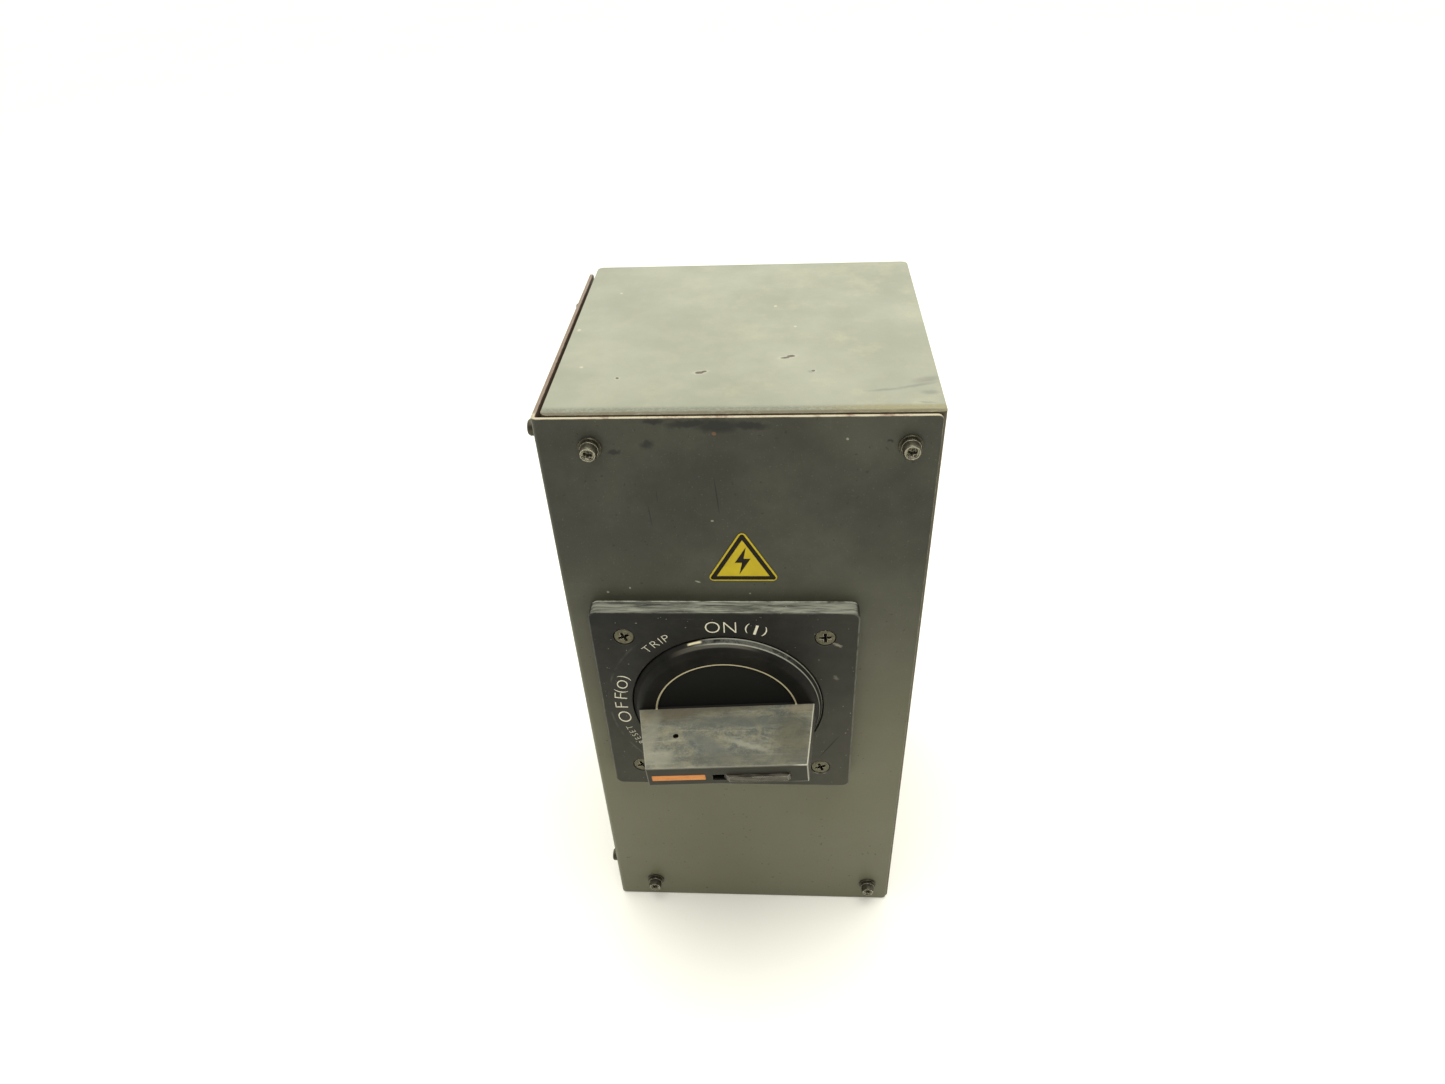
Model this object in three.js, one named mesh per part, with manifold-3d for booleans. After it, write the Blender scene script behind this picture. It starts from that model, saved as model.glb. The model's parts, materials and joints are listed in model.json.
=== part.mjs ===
// A machine's main isolator: a moulded-case breaker in a sheet-steel box, worked from outside by a
// rotary handle. The handle turns a square shaft, a pinion on the shaft lifts a toothed slider, and the
// slider carries the breaker's toggle between RESET, OFF, TRIP and ON.
//
// Millimetres. +Z is up, the handle looks along -Y, and the origin is the middle of the box's base.
import * as THREE from "three";
import { mergeVertices } from "three/addons/utils/BufferGeometryUtils.js";
import Module from "manifold-3d";

const wasm = await Module();
wasm.setup();

// ---------------------------------------------------------------- driving dimensions

const BOX = { width: 161, depth: 151.5, height: 334.5 };
const SHEET = 1.6; // steel sheet of the box and its cover
const LIP = 22; // lips above and below the box's two open sides
const SIDE_LIP = 12; // and beside them
const FIT = 0.1; // gap left between faces that touch
const FRONT = -BOX.depth / 2; // the cover's outer face
const BACK = BOX.depth / 2;
const LEFT = -BOX.width / 2; // the cover's outer side
const RIGHT = BOX.width / 2;
const COVER = { right: 79, back: FRONT + 146, lift: 0.5, corner: 2.4, bend: 2.4 };
const SHELL = { left: LEFT + 3.4, front: FRONT + SHEET + 0.3, bend: 3.5 };
const COVER_SCREW = { left: -58.4, right: 67.4, near: FRONT + 16, far: FRONT + 130 };
const SCREW_HEIGHTS = [15.6, BOX.height - 13.6];

const AXIS = { x: -8.7, z: 179.2 }; // the handle's axis on the front
const REST = -4; // degrees from OFF at which the handle hangs in its play, towards RESET
const TRIP = 45; // degrees from OFF; the breaker's toggle stands straight out here
const HANDLE_RANGE = [-26, 94]; // from rest: RESET and ON

// The handle's own pieces are measured from the cover's outer face: y = 0 there, and -Y is outwards.
const PLATE = { size: 121, face: 8, floor: 3.5, corner: 3, screw: 45.5, recess: 46, bore: 14.7 };
const GASKET = { size: 116, near: -1, far: -FIT, bore: 24 };
const CLAMP_PLATE = { size: 108, near: SHEET + FIT, far: 4.3, bore: 14.6 };
const DISC = { radius: 45.2, back: 3.9, side: 8.2, face: 13.6, dish: 33.3, floor: 12.5 };
const DISC_ROUND = { radius: 4.2, middle: 39.8, start: 12.4 }; // from the chamfered side to the face
const GRIP = { root: 41.8, left: -34.6, right: 37.9, half: 5.8, front: 49 };
const POCKET = { left: -29, right: 30.1, low: -3.1, high: 0.8, front: 46, mouth: -4.9 };
const STRIP = { left: -32.5, right: -8.1, low: -2.5, high: 0.9, depth: 1.5 };
const HUB = { flange: 19.8, web: 6.4, radius: 14.2, end: 7.6, socket: 4.1, screw: 16.6 };
const CIRCLIP = { inner: 12.9, outer: 16.2, near: 4.5, far: 5.7 };
const LOCK = { left: 0.2, right: 29.8, low: -2.6, high: 0.4, front: 50.6, back: 12.5 };
const LOCK_ARM = { front: 35.7, travel: 10 };
const LOCK_SCREW = { x: -22.4, y: -30.5, radius: 1.2 };
const LOCK_SPRING = { x: -8, radius: 1.4, wire: 0.5, turns: 7, seat: 22 };

const SHAFT = { half: 4, front: FRONT - 4, back: -25.8 };
const GEAR = { teeth: 16, module: 1.5, pitch: 12, addendum: 1.2, dedendum: 1.5, angle: 20, slack: 0.2 };
const PINION = { front: -33.2, back: -25.6, collar: 8 };
const RACK = { front: -33, left: -24, teeth: 8, first: -2.5 };
const SLIDER = { front: -17, back: -15, half: 28, low: -18, high: 27, window: [5, 6.2] };
const SLIDER_TAB = { reach: 34, half: 10 }; // the tabs that run in the frame's walls
const FRAME = { half: 32.5, wall: 2, rise: 56, front: -44, back: -10.1, foot: 44, screw: [38.5, 51] };
const TOGGLE = { y: 12, hub: 5, tip: -25, half: 4, width: 8, ratio: 0.4 };
const SHIELD = { inner: 17.2, outer: 18.6, spread: 50 }; // of the toggle, closing the cover's slot

const BREAKER = { half: 45, rise: 77.5, front: -10, split: 10, back: 58, coverRise: 60, wall: 3 };
const POLES = [-30, 0, 30];
const POLE = { half: 11.5, top: 52, recess: 61, floor: 46, hollow: [-44, 46] };
const BAR = { half: 7, front: 36, back: 39, end: 76, inner: 32, screw: 69 };
const CONTACT = { y: 28, z: -8, radius: 5, half: 4, tip: 46, pad: 42, ratio: 0.3 };
const BREAKER_SCREWS = [[15, 56], [-15, -56]];
const TRIP_BUTTON = { z: -34, radius: 3, reach: 10.8 };
const BRACKET = { half: 30, wall: 2, rise: 70, foot: 42, back: BACK - SHEET - FIT };

const GROMMET = { y: 20, z: 70, hole: 16, flange: 19, bore: 12 };
const WALL_HOLE = { x: 55, inset: 25, radius: 3.5 };
const EARTH = { x: 60, z: 45 };
const ROUND = 10; // sides of small round pieces
const FINE = 40; // sides of large round pieces

// ---------------------------------------------------------------- materials

const paint = new THREE.MeshStandardMaterial({ color: 0x565950, roughness: 0.55, metalness: 0.2 });
const zinc = new THREE.MeshStandardMaterial({ color: 0x8d8a7c, roughness: 0.4, metalness: 0.9 });
const steel = new THREE.MeshStandardMaterial({ color: 0x9a9c9e, roughness: 0.35, metalness: 1 });
const copper = new THREE.MeshStandardMaterial({ color: 0xb87333, roughness: 0.35, metalness: 1 });
const blackPlastic = new THREE.MeshStandardMaterial({ color: 0x26282a, roughness: 0.45 });
const greyPlastic = new THREE.MeshStandardMaterial({ color: 0x4a4d50, roughness: 0.5 });
const orange = new THREE.MeshStandardMaterial({ color: 0xe8833a, roughness: 0.5 });
const red = new THREE.MeshStandardMaterial({ color: 0xb3261e, roughness: 0.5 });
const yellow = new THREE.MeshStandardMaterial({ color: 0xe3c51f, roughness: 0.5 });
const rubber = new THREE.MeshStandardMaterial({ color: 0x1b1b1b, roughness: 0.9 });
const fibre = new THREE.MeshStandardMaterial({ color: 0xb9ad93, roughness: 0.8 });

// ---------------------------------------------------------------- geometry helpers

// The mesh of a geometry with its corners merged, as a manifold-3d solid.
function solid(geometry) {
  const bare = new THREE.BufferGeometry();
  bare.setAttribute("position", geometry.getAttribute("position"));
  bare.setIndex(geometry.index);
  const merged = mergeVertices(bare, 1e-4);
  const corners = [];
  const index = merged.index.array;
  for (let i = 0; i < index.length; i += 3) {
    const [a, b, c] = index.slice(i, i + 3);
    if (a !== b && b !== c && a !== c) corners.push(a, b, c);
  }
  return new wasm.Manifold(
    new wasm.Mesh({
      numProp: 3,
      vertProperties: merged.attributes.position.array,
      triVerts: new Uint32Array(corners),
    }),
  );
}

function fromSolid(made) {
  const mesh = made.getMesh();
  const geometry = new THREE.BufferGeometry();
  geometry.setAttribute("position", new THREE.BufferAttribute(mesh.vertProperties, mesh.numProp));
  geometry.setIndex(new THREE.BufferAttribute(mesh.triVerts, 1));
  geometry.computeVertexNormals();
  return geometry;
}

const cut = (body, ...tools) => fromSolid(tools.reduce((m, t) => m.subtract(solid(t)), solid(body)));
const join = (first, ...rest) => fromSolid(rest.reduce((m, g) => m.add(solid(g)), solid(first)));

// A box given by its lowest and highest corner on each axis.
function block([x0, x1], [y0, y1], [z0, z1]) {
  const made = new THREE.BoxGeometry(x1 - x0, y1 - y0, z1 - z0);
  return made.translate((x0 + x1) / 2, (y0 + y1) / 2, (z0 + z1) / 2);
}

const AXES = {
  alongX: [[0, 1, 0], [0, 0, 1], [1, 0, 0]], // an outline in (y, z), drawn out towards +X
  alongY: [[1, 0, 0], [0, 0, 1], [0, -1, 0]], // an outline in (x, z), drawn out towards -Y
  alongZ: [[1, 0, 0], [0, 1, 0], [0, 0, 1]], // an outline in (x, y), drawn out towards +Z
};

// An outline drawn out by a length along one axis, starting at the given place on that axis.
function drawn(outline, direction, start, length, curveSegments = 4) {
  const made = new THREE.ExtrudeGeometry(outline, { depth: length, bevelEnabled: false, curveSegments });
  const [u, v, w] = AXES[direction].map((a) => new THREE.Vector3(...a));
  made.applyMatrix4(new THREE.Matrix4().makeBasis(u, v, w));
  const axis = { alongX: [start, 0, 0], alongY: [0, start, 0], alongZ: [0, 0, start] }[direction];
  return made.translate(...axis);
}

function outlineOf(points) {
  return new THREE.Shape(points.map(([u, v]) => new THREE.Vector2(u, v)));
}

// A rectangle with one radius for each corner: lower left, lower right, upper right, upper left.
function roundedRect(u0, u1, v0, v1, radii) {
  const [a, b, c, d] = Array.isArray(radii) ? radii : [radii, radii, radii, radii];
  const s = new THREE.Shape();
  s.moveTo(u0 + a, v0);
  s.lineTo(u1 - b, v0);
  if (b) s.absarc(u1 - b, v0 + b, b, -Math.PI / 2, 0);
  s.lineTo(u1, v1 - c);
  if (c) s.absarc(u1 - c, v1 - c, c, 0, Math.PI / 2);
  s.lineTo(u0 + d, v1);
  if (d) s.absarc(u0 + d, v1 - d, d, Math.PI / 2, Math.PI);
  s.lineTo(u0, v0 + a);
  if (a) s.absarc(u0 + a, v0 + a, a, Math.PI, Math.PI * 1.5);
  return s;
}

// A turned piece about the Y axis, from its (radius, y) outline in either direction of travel.
function turned(outline, sides = ROUND) {
  const closed = outline.map(([r, y]) => new THREE.Vector2(r, y));
  const area = closed.reduce((sum, p, i) => sum + p.cross(closed[(i + 1) % closed.length]), 0);
  if (area < 0) closed.reverse();
  if (closed[0].x > 0) closed.push(closed[0].clone());
  return new THREE.LatheGeometry(closed, sides);
}

// A plain round bar or hole cutter along Y.
function rod(radius, y0, y1, [x, z] = [0, 0], sides = ROUND) {
  return turned([[0, y0], [radius, y0], [radius, y1], [0, y1]], sides).translate(x, 0, z);
}

// The same along X, at a place in (y, z).
function crossRod(radius, x0, x1, [y, z], sides = ROUND) {
  return turned([[0, x0], [radius, x0], [radius, x1], [0, x1]], sides)
    .rotateZ(-Math.PI / 2)
    .translate(0, y, z);
}

function piece(name, geometry, material) {
  const mesh = new THREE.Mesh(geometry, material);
  mesh.name = name;
  return mesh;
}

// ---------------------------------------------------------------- fasteners

// The two arms of a cross recess, cut into a screw's face at y = face.
function crossRecess(face, reach, depth, half) {
  const arm = (a, b) => block([-a, a], [face - 1, face + depth], [-b, b]);
  return [arm(reach, half), arm(half, reach)];
}

// Pan-head screw with captive spring and plain washers; y = 0 is the face it clamps.
function washerScrew() {
  const body = turned([
    [0, -5.9], [2.4, -5.9], [3.3, -5.4], [3.6, -4.6], [3.6, -2.5], [3.2, -2.5], [3.2, -1.1], [4.9, -1.1],
    [4.9, -FIT], [1.95, -FIT], [1.95, 8], [0, 8],
  ]);
  return cut(body, ...crossRecess(-5.9, 1.9, 1.8, 0.45));
}

// Countersunk screw; y = 0 is its face.
function flatScrew(head, shank, length) {
  const cone = head - shank;
  const body = turned([
    [0, 0], [head, 0], [head, 0.4], [shank, 0.4 + cone], [shank, length], [0, length],
  ]);
  return cut(body, ...crossRecess(0, head * 0.55, cone * 0.8, head * 0.11));
}

// Cheese-head screw with a slot; y = 0 is under its head.
function slottedScrew(head, height, shank, length) {
  const body = turned([
    [0, -height], [head, -height], [head, 0], [shank, 0], [shank, length], [0, length],
  ]);
  return cut(body, block([-head - 1, head + 1], [-height - 1, -height * 0.5], [-0.5, 0.5]));
}

// ---------------------------------------------------------------- the box and its cover

const atEachCorner = (xs, zs, make) => xs.flatMap((x) => zs.map((z) => make(x, z)));

// Body with closed top, bottom, right side and back, and lips round the two open sides.
function enclosureBody() {
  const plan = roundedRect(SHELL.left, RIGHT, SHELL.front, BACK, [SHELL.bend, 2, 3, 3]);
  const inner = roundedRect(
    SHELL.left + SHEET, RIGHT - SHEET, SHELL.front + SHEET, BACK - SHEET,
    [SHELL.bend - SHEET, 0.5, 1.4, 1.4],
  );
  const opening = [LIP, BOX.height - LIP];
  const wallHoles = [WALL_HOLE.inset, BOX.height - WALL_HOLE.inset];
  return cut(
    drawn(plan, "alongZ", 0, BOX.height),
    drawn(inner, "alongZ", SHEET, BOX.height - 2 * SHEET),
    block([SHELL.left + SIDE_LIP, RIGHT - SIDE_LIP], [FRONT - 1, FRONT + 6], opening),
    block([SHELL.left - 1, SHELL.left + 6], [FRONT + SIDE_LIP, BACK - SIDE_LIP], opening),
    crossRod(GROMMET.hole, RIGHT - 4, RIGHT + 1, [GROMMET.y, GROMMET.z], FINE / 2),
    ...atEachCorner([COVER_SCREW.near, COVER_SCREW.far], SCREW_HEIGHTS, (y, z) =>
      crossRod(2.05, SHELL.left - 1, SHELL.left + 3, [y, z])),
    ...atEachCorner([COVER_SCREW.left, COVER_SCREW.right], SCREW_HEIGHTS, (x, z) =>
      rod(2.05, FRONT, FRONT + 5, [x, z])),
    ...atEachCorner([-WALL_HOLE.x, WALL_HOLE.x], wallHoles, (x, z) =>
      rod(WALL_HOLE.radius, BACK - 4, BACK + 1, [x, z])),
  );
}

// One sheet, bent once: the front and the left side.
function frontCover() {
  const { bend } = COVER;
  const plan = new THREE.Shape();
  plan.moveTo(COVER.right, FRONT);
  plan.lineTo(COVER.right, FRONT + SHEET);
  plan.lineTo(LEFT + bend, FRONT + SHEET);
  plan.absarc(LEFT + bend, FRONT + bend, bend - SHEET, -Math.PI / 2, -Math.PI, true);
  plan.lineTo(LEFT + SHEET, COVER.back);
  plan.lineTo(LEFT, COVER.back);
  plan.lineTo(LEFT, FRONT + bend);
  plan.absarc(LEFT + bend, FRONT + bend, bend, Math.PI, Math.PI * 1.5);
  const foot = COVER.lift;
  const head = BOX.height - COVER.lift;
  const corners = [0, COVER.corner, COVER.corner, 0];
  const fromFront = roundedRect(LEFT - 1, COVER.right, foot, head, corners);
  const fromSide = roundedRect(FRONT - 1, COVER.back, foot, head, corners);
  const sheet = fromSolid(
    solid(drawn(plan, "alongZ", foot, head - foot))
      .intersect(solid(drawn(fromFront, "alongY", BACK, BOX.depth + 1)))
      .intersect(solid(drawn(fromSide, "alongX", LEFT - 1, BOX.width + 2))),
  );
  return cut(
    sheet,
    rod(23, FRONT - 1, FRONT + 3, [AXIS.x, AXIS.z], FINE / 2),
    ...plateScrewPlaces().map(([x, z]) => rod(2.8, FRONT - 1, FRONT + 3, [AXIS.x + x, AXIS.z + z])),
    ...atEachCorner([COVER_SCREW.near, COVER_SCREW.far], SCREW_HEIGHTS, (y, z) =>
      crossRod(2.3, LEFT - 1, LEFT + 3, [y, z])),
    ...atEachCorner([COVER_SCREW.left, COVER_SCREW.right], SCREW_HEIGHTS, (x, z) =>
      rod(2.3, FRONT - 1, FRONT + 3, [x, z])),
  );
}

function plateScrewPlaces() {
  const s = PLATE.screw;
  return [[-s, s], [s, s], [-s, -s], [s, -s]];
}

// Triangular warning label, its corners rounded and its base at z = 0.
function warningLabel() {
  const side = 32.5; // to the sharp corners
  const corner = 2;
  const centre = side / (2 * Math.sqrt(3));
  const outline = new THREE.Shape();
  for (let i = 0; i < 3; i++) {
    const towards = Math.PI / 2 + (i * 2 * Math.PI) / 3;
    const reach = 2 * (centre - corner);
    const middle = [reach * Math.cos(towards), reach * Math.sin(towards)];
    outline.absarc(...middle, corner, towards - Math.PI / 3, towards + Math.PI / 3);
  }
  return drawn(outline, "alongY", 0, 0.25).translate(0, 0, centre);
}

// Rubber bush snapped into the cable hole in the right wall, its axis along Y until it is placed.
function cableGrommet() {
  const { bore, flange, hole } = GROMMET;
  return turned([
    [bore, -2.6], [flange, -2.6], [flange, -FIT], [hole - FIT, -FIT], [hole - FIT, SHEET + FIT],
    [flange - 0.5, SHEET + FIT], [flange - 0.5, 4.4], [bore, 4.4],
  ], FINE / 2);
}

// Stud welded to the back wall, with its nut and washer.
function earthStud() {
  const stud = rod(2.4, -16, -FIT);
  const nut = turned([[0, -9], [4, -9], [4, -5], [5, -5], [5, -4], [0, -4]], 6);
  const foot = turned([[0, -1.6], [5, -1.6], [5, -FIT], [0, -FIT]]);
  return join(stud, nut, foot);
}

// ---------------------------------------------------------------- the handle's plate

// Square plate: the disc turns in its round recess, and the gasket lies in a pocket in its back.
function handlePlate() {
  const half = PLATE.size / 2;
  const face = -PLATE.face;
  const outline = roundedRect(-half, half, -half, half, PLATE.corner);
  const slab = drawn(outline, "alongY", -FIT, PLATE.face - FIT);
  const pocket = GASKET.size / 2 + FIT;
  const countersinks = plateScrewPlaces().map(([x, z]) =>
    turned([[0, face - 1], [4.8, face - 1], [4.8, face + 0.7], [2.7, face + 2.8], [2.7, 0], [0, 0]])
      .translate(x, 0, z));
  return cut(
    slab,
    block([-pocket, pocket], [GASKET.near - FIT, 1], [-pocket, pocket]),
    rod(PLATE.recess, face - 1, -PLATE.floor, [0, 0], FINE),
    rod(PLATE.bore, -PLATE.floor - 1, 0, [0, 0], FINE / 2),
    ...countersinks,
  );
}

// A square sheet with a round hole in the middle and a hole for each of the plate's screws.
function squareSheet({ size, near, far, bore }, screwHole) {
  const half = size / 2;
  const sheet = drawn(roundedRect(-half, half, -half, half, PLATE.corner), "alongY", far, far - near);
  const holes = plateScrewPlaces().map(([x, z]) => rod(screwHole, near - 1, far + 1, [x, z]));
  return cut(sheet, rod(bore, near - 1, far + 1, [0, 0], FINE / 2), ...holes);
}

// ---------------------------------------------------------------- the handle

// Disc and grip in one moulding, hollow behind for the lock plate.
function rotaryHandle() {
  const { radius, back, side, face, dish, floor } = DISC;
  const round = [0, 1, 2, 3].map((i) => {
    const turn = THREE.MathUtils.degToRad(DISC_ROUND.start + (i / 3) * (90 - DISC_ROUND.start));
    const out = DISC_ROUND.radius * Math.cos(turn);
    const up = DISC_ROUND.radius * (1 - Math.sin(turn));
    return [DISC_ROUND.middle + out, up - face];
  });
  const disc = turned([
    [0, -HUB.web], [20, -HUB.web], [20, -back], [radius, -back], [radius, -side], ...round,
    [dish, -face], [dish - 0.5, -floor], [0, -floor],
  ], FINE);
  const bar = outlineOf([
    [-GRIP.root, -floor + 1], [-GRIP.root, -face + 0.5], [GRIP.left, -GRIP.front],
    [GRIP.right, -GRIP.front], [GRIP.root, -face + 0.5], [GRIP.root, -floor + 1],
  ]);
  const heights = [POCKET.low, POCKET.high];
  return cut(
    join(disc, drawn(bar, "alongZ", -GRIP.half, GRIP.half * 2)),
    block([POCKET.left, POCKET.right], [-POCKET.front, -back + 1], heights),
    block([POCKET.mouth, POCKET.right], [-GRIP.front - 1, -POCKET.front + 1], heights),
    block(
      [STRIP.left, STRIP.right],
      [-GRIP.front - 1, -GRIP.front + STRIP.depth],
      [STRIP.low, STRIP.high],
    ),
    upright(LOCK_SCREW.radius + FIT, [LOCK_SCREW.x, LOCK_SCREW.y], -4.6, GRIP.half + 1),
    ...hubScrewPlaces().map(([x, z]) => rod(1.3, -HUB.web - 4, -back, [x, z])),
  );
}

function hubScrewPlaces() {
  return [[0, HUB.screw], [0, -HUB.screw]];
}

// A round bar along Z at a place in (x, y).
function upright(radius, [x, y], z0, z1, sides = ROUND) {
  return turned([[0, z0], [radius, z0], [radius, z1], [0, z1]], sides)
    .rotateX(Math.PI / 2)
    .translate(x, y, 0);
}

// Flanged bush screwed to the back of the handle; the shaft's socket is square.
function handleHub() {
  const { flange, web, radius, end, socket } = HUB;
  const body = turned([
    [0, -web + FIT], [flange, -web + FIT], [flange, -DISC.back], [radius, -DISC.back],
    [radius, CIRCLIP.near - FIT], [CIRCLIP.inner - FIT, CIRCLIP.near - FIT],
    [CIRCLIP.inner - FIT, CIRCLIP.far + FIT], [radius, CIRCLIP.far + FIT], [radius, end], [0, end],
  ], FINE / 2);
  return cut(
    body,
    block([-socket, socket], [-web + 2, end + 1], [-socket, socket]),
    ...hubScrewPlaces().map(([x, z]) => rod(1.7, -web - 1, 0, [x, z])),
  );
}

// Screw from behind through the hub's flange, its head flush with the flange.
function hubScrew() {
  return cut(
    turned([[0, -FIT], [1.6, -FIT], [1.6, -2], [1.2, -2.6], [1.2, -6], [0, -6]]),
    block([-3, 3], [-0.7, 1], [-0.3, 0.3]),
  );
}

function circlip() {
  const { inner, outer, near, far } = CIRCLIP;
  const ring = turned([[inner, near], [outer, near], [outer, far], [inner, far]], FINE / 2);
  return cut(ring, block([-3, 3], [near - 1, far + 1], [-outer - 1, 0]));
}

function indexStrip() {
  return block(
    [STRIP.left + FIT, STRIP.right - FIT],
    [-GRIP.front - 0.15, -GRIP.front + STRIP.depth - FIT],
    [STRIP.low + FIT, STRIP.high - FIT],
  );
}

// L-shaped plate whose window takes the padlocks when it is pulled out of the grip.
function lockPlate() {
  const { left, right, low, high, front, back } = LOCK;
  const armFront = LOCK_ARM.front;
  const thick = high - low;
  const plan = outlineOf([
    [left, -front + 2.5], [left + 2.5, -front], [right - 1, -front], [right, -front + 1], [right, -back],
    [POCKET.left + 1, -back], [POCKET.left + 1, -armFront], [left, -armFront],
  ]);
  const shackle = roundedRect(left + 4, right - 4, -front + 2.8, -front + 9.2, 2);
  const run = LOCK_SCREW.radius + 0.3;
  const slot = roundedRect(
    LOCK_SCREW.x - run, LOCK_SCREW.x + run,
    LOCK_SCREW.y - run, LOCK_SCREW.y + LOCK_ARM.travel + run, run - 0.01,
  );
  const springBay = [LOCK_SPRING.x - 2.4, LOCK_SPRING.x + 2.4];
  return cut(
    drawn(plan, "alongZ", low, thick, 3),
    drawn(shackle, "alongZ", low - 1, thick + 2, 3),
    drawn(slot, "alongZ", low - 1, thick + 2, 3),
    block(springBay, [-armFront - 1, -LOCK_SPRING.seat], [low - 1, high + 1]),
  );
}

// Screw through the grip that keeps the lock plate in and is the stop at both ends of its slot.
function lockScrew() {
  const { x, y, radius } = LOCK_SCREW;
  const top = 3.4;
  const pin = upright(radius, [x, y], -4.4, top);
  return cut(pin, block([x - 2, x + 2], [y - 0.25, y + 0.25], [top - 0.8, top + 1]));
}

// Compression spring in the lock plate's bay, bearing on the front wall of the grip's pocket.
function lockSpring() {
  const { x, radius, wire, turns, seat } = LOCK_SPRING;
  const start = -POCKET.front + wire + FIT;
  const length = POCKET.front - seat - 2 * (wire + FIT);
  const middle = (LOCK.low + LOCK.high) / 2;
  const points = [];
  for (let i = 0; i <= turns * 8; i++) {
    const turn = (i * Math.PI) / 4;
    const along = start + (length * i) / (turns * 8);
    points.push(new THREE.Vector3(x + radius * Math.cos(turn), along, middle + radius * Math.sin(turn)));
  }
  const half = wire / 2;
  const section = outlineOf([[-half, -half], [half, -half], [half, half], [-half, half]]);
  const path = new THREE.CatmullRomCurve3(points);
  return fromSolid(solid(new THREE.ExtrudeGeometry(section, { steps: turns * 8, extrudePath: path })));
}

// ---------------------------------------------------------------- shaft, pinion and slider

function handleShaft() {
  const { half, front, back } = SHAFT;
  return block([-half, half], [front, back], [-half, half]);
}

// Flank of an involute tooth: half the tooth's angle at a radius.
function toothHalfAngle(radius) {
  const pressure = (GEAR.angle * Math.PI) / 180;
  const base = GEAR.pitch * Math.cos(pressure);
  const involute = (r) => {
    const slope = Math.acos(Math.min(1, base / r));
    return Math.tan(slope) - slope;
  };
  const thickness = (Math.PI * GEAR.module) / 2 - GEAR.slack;
  const atPitch = thickness / (2 * GEAR.pitch) + Math.tan(pressure) - pressure;
  return atPitch - involute(Math.max(radius, base));
}

// Drawn with the handle at TRIP, one tooth pointing at the rack. Its collar bears on the frame.
function pinion() {
  const { teeth, pitch, addendum, dedendum } = GEAR;
  const radii = [pitch - dedendum, pitch - dedendum / 2, pitch, pitch + addendum];
  const points = [];
  for (let i = 0; i < teeth; i++) {
    const centre = Math.PI + (i * 2 * Math.PI) / teeth;
    for (const r of radii) points.push([r, centre - toothHalfAngle(r)]);
    for (const r of [...radii].reverse()) points.push([r, centre + toothHalfAngle(r)]);
  }
  const outline = outlineOf(points.map(([r, turn]) => [r * Math.cos(turn), r * Math.sin(turn)]));
  const wheel = drawn(outline, "alongY", PINION.back, PINION.back - PINION.front);
  const collar = rod(PINION.collar, FRAME.front + FRAME.wall + FIT, PINION.front + 1, [0, 0], FINE / 2);
  const half = SHAFT.half + 0.05;
  const socket = block([-half, half], [FRAME.front, PINION.back + 1], [-half, half]);
  return cut(join(wheel, collar), turnedClockwise(socket, TRIP));
}

// Plate with a window for the breaker's toggle and a rack along its left edge, drawn with the handle
// at TRIP, a tooth space level with the shaft.
function toothedSlider() {
  const step = Math.PI * GEAR.module;
  const slope = Math.tan((GEAR.angle * Math.PI) / 180);
  const root = -GEAR.pitch - GEAR.dedendum;
  const tip = -GEAR.pitch + GEAR.addendum;
  const half = step / 4 - GEAR.slack / 2;
  const wide = half + GEAR.dedendum * slope;
  const narrow = half - GEAR.addendum * slope;
  const outline = [];
  for (let i = 0; i < RACK.teeth; i++) {
    const z = (RACK.first + i) * step;
    outline.push([root, z - wide], [tip, z - narrow], [tip, z + narrow], [root, z + wide]);
  }
  outline.push([RACK.left, outline.at(-1)[1]], [RACK.left, outline[0][1]]);
  const rack = drawn(outlineOf(outline), "alongY", SLIDER.front + 0.5, SLIDER.front + 0.5 - RACK.front);
  const depth = [SLIDER.front, SLIDER.back];
  const [across, up] = SLIDER.window;
  const plate = cut(
    join(
      block([-SLIDER.half, SLIDER.half], depth, [SLIDER.low, SLIDER.high]),
      block([-SLIDER_TAB.reach, SLIDER_TAB.reach], depth, [-SLIDER_TAB.half, SLIDER_TAB.half]),
    ),
    block([-across, across], [SLIDER.front - 1, SLIDER.back + 1], [-up, up]),
  );
  return join(plate, rack);
}

// Channel screwed to the breaker's face. The shaft turns in its web, and the slider's tabs run in slots
// in its walls.
function mechanismFrame() {
  const { half, wall, rise, front, back, foot, screw } = FRAME;
  const full = [-rise, rise];
  const channel = cut(block([-half, half], [front, back], full),
    block([wall - half, half - wall], [front + wall, back + 1], [-rise - 1, rise + 1]));
  const feet = [-1, 1].map((side) => {
    const span = [side * (half - 1), side * foot].sort((a, b) => a - b);
    return block(span, [back - wall, back], full);
  });
  const travel = sliderTravel();
  const run = [travel.low - SLIDER_TAB.half - 0.5, travel.high + SLIDER_TAB.half + 0.5];
  const [x, z] = screw;
  return cut(
    join(channel, ...feet),
    rod(SHAFT.half * Math.SQRT2 + 0.1, front - 1, front + wall + 1, [0, 0], FINE / 2),
    block([-half - 1, half + 1], [SLIDER.front - 0.15, SLIDER.back + 0.15], run),
    block([-18, 18], [front - 1, front + wall + 1], [18, 48]),
    block([-18, 18], [front - 1, front + wall + 1], [-48, -18]),
    ...atEachCorner([-x, x], [-z, z], (u, v) => rod(2.1, back - wall - 1, back + 1, [u, v])),
  );
}

// How far the slider stands from its TRIP place at the ends of the handle's turn.
function sliderTravel() {
  return { low: slideFor(HANDLE_RANGE[0] + REST - TRIP), high: slideFor(HANDLE_RANGE[1] + REST - TRIP) };
}

function slideFor(degrees) {
  return (degrees * Math.PI * GEAR.pitch) / 180;
}

// ---------------------------------------------------------------- the breaker

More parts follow.
